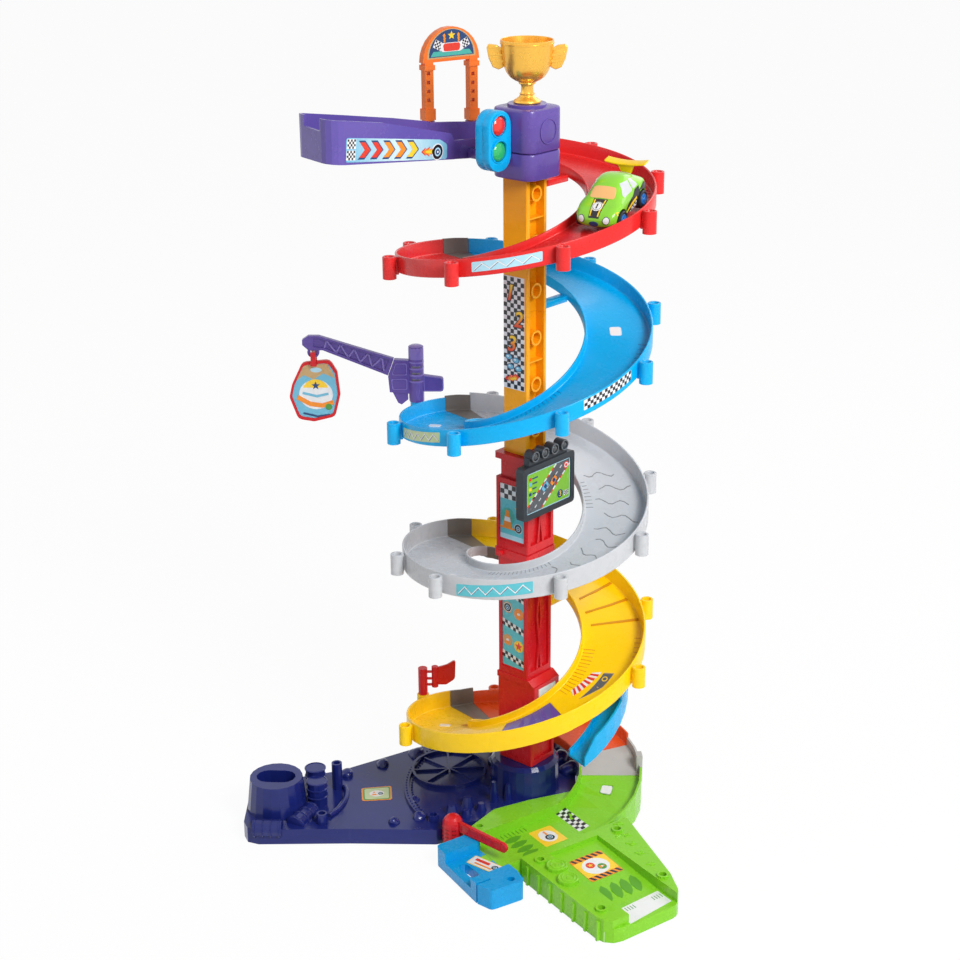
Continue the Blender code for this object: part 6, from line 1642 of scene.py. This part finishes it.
def floor_plates():
    """Five small white plates with round corners in the running surfaces."""
    for i, (angle, radius) in enumerate(((407, 0.0975), (599, 0.1003), (911.7, 0.1027), (1315, 0.0936),
                                         (1505, 0.098)), 1):
        piece = Piece(f"floor_plate_{i}", FINISH["white"])
        shape = oblong((-0.0066, 0.0066), (radius - 0.0063, radius + 0.0063), 0.0024)
        piece.take(bent(flat(shape, -0.0004, 0.0008), on_floor(angle), 0.0025))
        piece.done("tower", "white", f"location_plate_{i}")


# Toy car

def car_frame():
    """The car's own frame: X ahead, Z up, and lifted until its wheels stand on the running surface."""
    behind, here, ahead = (polar(angle, TRACK_MID, track_floor(angle))
                           for angle in (CAR_ANGLE - 10, CAR_ANGLE, CAR_ANGLE + 10))
    x = (ahead - behind).normalized()
    y = Vector((0, 0, 1)).cross(x).normalized()
    z = x.cross(y)
    turn_to = Matrix((x, y, z)).transposed()
    lift = 0.0003
    for reach in AXLES:
        for across in (-0.0245, -0.0165, 0.0165, 0.0245):
            spot = here + turn_to @ Vector((reach, across, 0))
            lift = max(lift, track_floor(math.degrees(math.atan2(spot.x, spot.y))) - spot.z + 0.0009)
    return Matrix.Translation(here + z * lift) @ turn_to.to_4x4()


CAR = car_frame()
# Cross-sections: place along the car, half width, underside, belt line, roof, and half width of the roof
CAR_STATIONS = (
    (-0.0435, 0.0165, 0.011, 0.0215, 0.0205, 0.012), (-0.041, 0.0215, 0.008, 0.027, 0.027, 0.015),
    (-0.033, 0.0238, 0.0055, 0.029, 0.0325, 0.016), (-0.024, 0.0242, 0.005, 0.0285, 0.0385, 0.0158),
    (-0.013, 0.0232, 0.0048, 0.0265, 0.0425, 0.016), (-0.003, 0.0228, 0.0048, 0.0255, 0.0425, 0.016),
    (0.006, 0.023, 0.0048, 0.0255, 0.0395, 0.0158), (0.014, 0.0236, 0.0048, 0.026, 0.033, 0.016),
    (0.021, 0.0242, 0.005, 0.0262, 0.028, 0.0165), (0.03, 0.0238, 0.0052, 0.0245, 0.0255, 0.0165),
    (0.039, 0.0215, 0.0058, 0.0195, 0.0215, 0.014), (0.044, 0.015, 0.008, 0.015, 0.016, 0.0095),
)


def car_shell():
    """Rounded body lofted from cross-sections, then smoothed and cut for the wheels."""
    bm = bmesh.new()
    rings = []
    for x, wide, low, belt, roof, top in CAR_STATIONS:
        half = [(0.0, low), (wide * 0.72, low), (wide * 0.97, low + 0.004), (wide, (low + belt) / 2),
                (wide * 0.96, belt - 0.001), (wide * 0.8, belt + (roof - belt) * 0.3),
                (top, belt + (roof - belt) * 0.8), (top * 0.6, roof), (0.0, roof + 0.0004)]
        ring = half + [(-y, z) for y, z in reversed(half[1:-1])]
        rings.append([bm.verts.new((x, y, z)) for y, z in ring])
    count = len(rings[0])
    for one, two in zip(rings, rings[1:]):
        for i in range(count):
            j = (i + 1) % count
            bm.faces.new((one[i], two[i], two[j], one[j]))
    bm.faces.new(rings[0])
    bm.faces.new(rings[-1][::-1])
    bmesh.ops.recalc_face_normals(bm, faces=bm.faces)
    holder = held("shell", plain(bm, "shell"))
    smooth = holder.modifiers.new("smooth", "SUBSURF")
    smooth.levels = smooth.render_levels = 2
    cutter = bmesh.new()
    for x in AXLES:
        for low, high in ((0.015, 0.03), (-0.03, -0.015)):
            wheel = lathed([(0, low), (0.0112, low), (0.0112, high), (0, high)], 36,
                           shift(x, 0, WHEEL_HEIGHT) @ spin(-math.pi / 2, "X"))
            cutter.from_mesh(plain(wheel, "arch"))
    bmesh.ops.recalc_face_normals(cutter, faces=cutter.faces)
    tool = held("arches", plain(cutter, "arches"))
    step = holder.modifiers.new("arches", "BOOLEAN")
    step.operation = "DIFFERENCE"
    step.object = tool
    made = evaluated(holder)
    bpy.data.objects.remove(tool)
    return made


def hugging(skin, outline, side, proud):
    """A thin print that lies on the body: the outline is drawn from the side, the front or the top."""
    step = 0.0022
    bm = flat(outline, 0, 1)
    bmesh.ops.triangulate(bm, faces=bm.faces)
    for axis in (0, 1):
        values = [v.co[axis] for v in bm.verts]
        low, high = min(values), max(values)
        normal = Vector((1, 0, 0)) if axis == 0 else Vector((0, 1, 0))
        for i in range(1, int((high - low) / step) + 1):
            bmesh.ops.bisect_plane(bm, geom=bm.verts[:] + bm.edges[:] + bm.faces[:],
                                   plane_co=normal * (low + i * step), plane_no=normal)
    for vert in bm.verts:
        a, b, over = vert.co.x, vert.co.y, vert.co.z > 0.5
        if side == "left" or side == "right":
            sign = 1 if side == "left" else -1
            start, way = Vector((a, sign * 0.06, b)), Vector((0, -sign, 0))
        elif side == "front":
            start, way = Vector((0.09, a, b)), Vector((-1, 0, 0))
        else:
            start, way = Vector((a, b, 0.09)), Vector((0, 0, -1))
        hit, normal, _, _ = skin.ray_cast(start, way)
        if hit is None:
            hit, normal, _, _ = skin.find_nearest(Vector((a, 0, b)))
        vert.co = hit + normal * (proud if over else -0.0004)
    bmesh.ops.recalc_face_normals(bm, faces=bm.faces)
    return bm


def car_body():
    """The body, and its surface for the prints that lie on it."""
    piece = Piece("car_shell", FINISH["car_green"])
    shell = car_shell()
    skin = BVHTree.FromPolygons([v.co.copy() for v in shell.vertices],
                                [p.vertices[:] for p in shell.polygons])
    piece.take(shell, 0, CAR)
    piece.done("tower", "green", "car_body", smooth=60)
    return skin


def car_windows(skin):
    window = rounded([(0.0125, 0.0268), (-0.0085, 0.0268), (-0.0085, 0.0378), (0.0035, 0.0386)], 0.0018)
    rear = rounded([(-0.0107, 0.0272), (-0.021, 0.0285), (-0.015, 0.037), (-0.0107, 0.038)], 0.0014)
    sides = Piece("car_glass", FINISH["glass"], FINISH["windscreen"])
    for side in ("left", "right"):
        sides.take(hugging(skin, window, side, 0.0003), 0, CAR)
        sides.take(hugging(skin, rear, side, 0.0003), 0, CAR)
    screen = rounded([(0.009, -0.0125), (0.0205, -0.014), (0.0205, 0.014), (0.009, 0.0125)], 0.003)
    sides.take(hugging(skin, screen, "top", 0.0004), 1, CAR)
    back = rounded([(-0.033, -0.01), (-0.024, -0.0115), (-0.024, 0.0115), (-0.033, 0.01)], 0.002)
    sides.take(hugging(skin, back, "top", 0.0003), 0, CAR)
    sides.done("tower", "white")


def car_wing():
    wing = Piece("car_wing", FINISH["yellow"])
    upper = [(-0.0225 + 0.0045 * i, 0.0402 + 0.0023 * (abs(i - 5) / 5) ** 2) for i in range(11)]
    blade = upper + [(y, z - 0.0017) for y, z in upper[::-1]]
    foot = [(-0.005, 0.029), (0.005, 0.029), (0.0095, 0.0396), (-0.0095, 0.0396)]
    wing.take(cake([blade], -0.05, -0.0385, 0.0005, CAR @ FACING_X))
    wing.take(cake([foot], -0.0452, -0.0402, 0.0006, CAR @ FACING_X))
    wing.done("tower", "yellow", "car_spoiler")


def car_prints(skin):
    """Swoosh, band, chequers and bolt on both sides, stripes and a plain disc on the bonnet, and lamps."""
    prints = printed("car_print")

    def print_on(side, outline, tone, proud):
        prints.take(hugging(skin, outline, side, proud), shade(tone), CAR)

    for side in ("left", "right"):
        swoosh = [(0.015, 0.01), (0.014, 0.016), (0.006, 0.019), (-0.006, 0.0215), (-0.013, 0.0262),
                  (-0.012, 0.0215), (-0.021, 0.027), (-0.02, 0.0225), (-0.033, 0.0262), (-0.038, 0.0225),
                  (-0.037, 0.018), (-0.015, 0.0165), (-0.014, 0.009)]
        print_on(side, swoosh, "black", 0.0004)
        band = [(0.014, 0.012), (0.013, 0.0138), (0.0, 0.0168), (-0.013, 0.019), (-0.0125, 0.0165),
                (0.0, 0.0142)]
        print_on(side, band, "yellow", 0.0006)
        for i in range(5):
            for k in range(3):
                if (i + k) % 2 == 0:
                    x, z = -0.011 + 0.0024 * i, 0.0065 + 0.0021 * k + 0.0006 * (4 - i)
                    print_on(side, oblong((x, x + 0.0023), (z, z + 0.002)), "white", 0.0007)
        bolt = [(0.0335, 0.0215), (0.035, 0.012), (0.031, 0.015), (0.029, 0.009), (0.03, 0.0205)]
        print_on(side, bolt, "yellow", 0.0005)
    stripe = [(0.0215, -0.0075), (0.0425, -0.0055), (0.0425, 0.0055), (0.0215, 0.0075)]
    print_on("top", stripe, "black", 0.0004)
    for y in (-0.0058, 0.0058):
        print_on("top", stroke([(0.0225, y), (0.0415, y * 0.72)], 0.0007), "yellow", 0.0006)
    for radius, tone, lift in ((0.0056, "white", 0.0008), (0.0048, "black", 0.0009),
                               (0.0044, "white", 0.001)):
        print_on("top", disc(0.0315, 0, radius), tone, lift)
    print_on("top", oblong((0.0285, 0.0345), (-0.0006, 0.0006)), "black", 0.0013)
    for y in (-0.0135, 0.0135):
        print_on("front", disc(y, 0.0155, 0.0036, 18), "black", 0.0006)
        print_on("front", disc(y, 0.0155, 0.003, 18), "white", 0.0009)
    print_on("front", disc(0, 0.0115, 0.005, 20, 0.55), "navy", 0.0006)
    prints.done("tower", "white")


def car_hubs():
    """Blue hubs with five spokes and a black ring, in the four wheels."""
    for end, x in zip(("front", "rear"), AXLES):
        hub = Piece(end + "_hubs", FINISH["hub_blue"], FINISH["rubber"])
        for side in (-1, 1):
            place = CAR @ shift(x, 0, WHEEL_HEIGHT) @ spin(-side * math.pi / 2, "X")
            hub.take(lathed([(0, 0.0262), (0.0018, 0.026), (0.0024, 0.025), (0.0046, 0.0248),
                             (0.0054, 0.0256), (0.006, 0.0246), (0.006, 0.0236), (0, 0.0236)], 28, place), 0)
            hub.take(lathed([(0.0066, 0.0236), (0.0068, 0.0248), (0.0082, 0.0251), (0.0091, 0.0245),
                             (0.0094, 0.0232)], 32, place), 1)
            for k in range(5):
                spoke = place @ spin(2 * math.pi * k / 5)
                hub.take(bar((0.0018, 0.0052), (-0.0006, 0.0006), (0.0244, 0.0256), 0.0002, spoke), 0)
        hub.done(end + "_wheels", "tyre_rubber")


set_camera()
set_world()
set_floor()
soft_lamp("key", (1.9, -0.55, 1.9), (0, 0, 0.4), (0.9, 0.9), 56)
soft_lamp("fill", (-1.6, -1.4, 1.3), (0, 0, 0.4), (1.6, 1.6), 9)
soft_lamp("back", (0.2, 2.0, 1.8), (0, 0, 0.5), (1.6, 1.2), 14)
bpy.context.scene.view_settings.view_transform = "Standard"

red_turn()
blue_turn()
grey_turn()
yellow_turn()
orange_turn()
floor_clips()
column_print()
panel_prints()
tray_print()
gate_print()
wall_prints()
yellow_floor_print()
board_print()
board_lamps()
crane_details()
sign_print()
base_prints()
track_lines()
base_relief()
pod_details()
cup_details()
barrier_details()
green_relief()
body_skin = car_body()
car_windows(body_skin)
car_wing()
car_prints(body_skin)
car_hubs()
head_pieces()
pod_pieces()
cup_piece()
floor_plates()

KEPT = {
    "navy": ["navy_base"], "green": ["exit_track", "green_ramp"], "adapter": ["exit_adapter"],
    "red": ["barrier_arm", "column_foot", "column_lower", "column_middle", "hanging_sign", "flag"],
    "white": ["foot_plate"], "amber": ["column_upper_1", "column_upper_2"], "pale_clip": ["exit_clip"],
    "cyan": ["side_chute"], "purple": ["diverter_flap", "crane_mast", "crane_jib"], "lilac": ["launch_tray"],
    "gate": ["start_gate"], "charcoal": ["scoreboard", "lamp_1", "lamp_2", "lamp_3", "lamp_4"],
    "rubber": ["front_axle", "rear_axle"],
}
for finish, names in KEPT.items():
    for name in names:
        for slot in nodes[name].material_slots:
            slot.material = FINISH[finish]
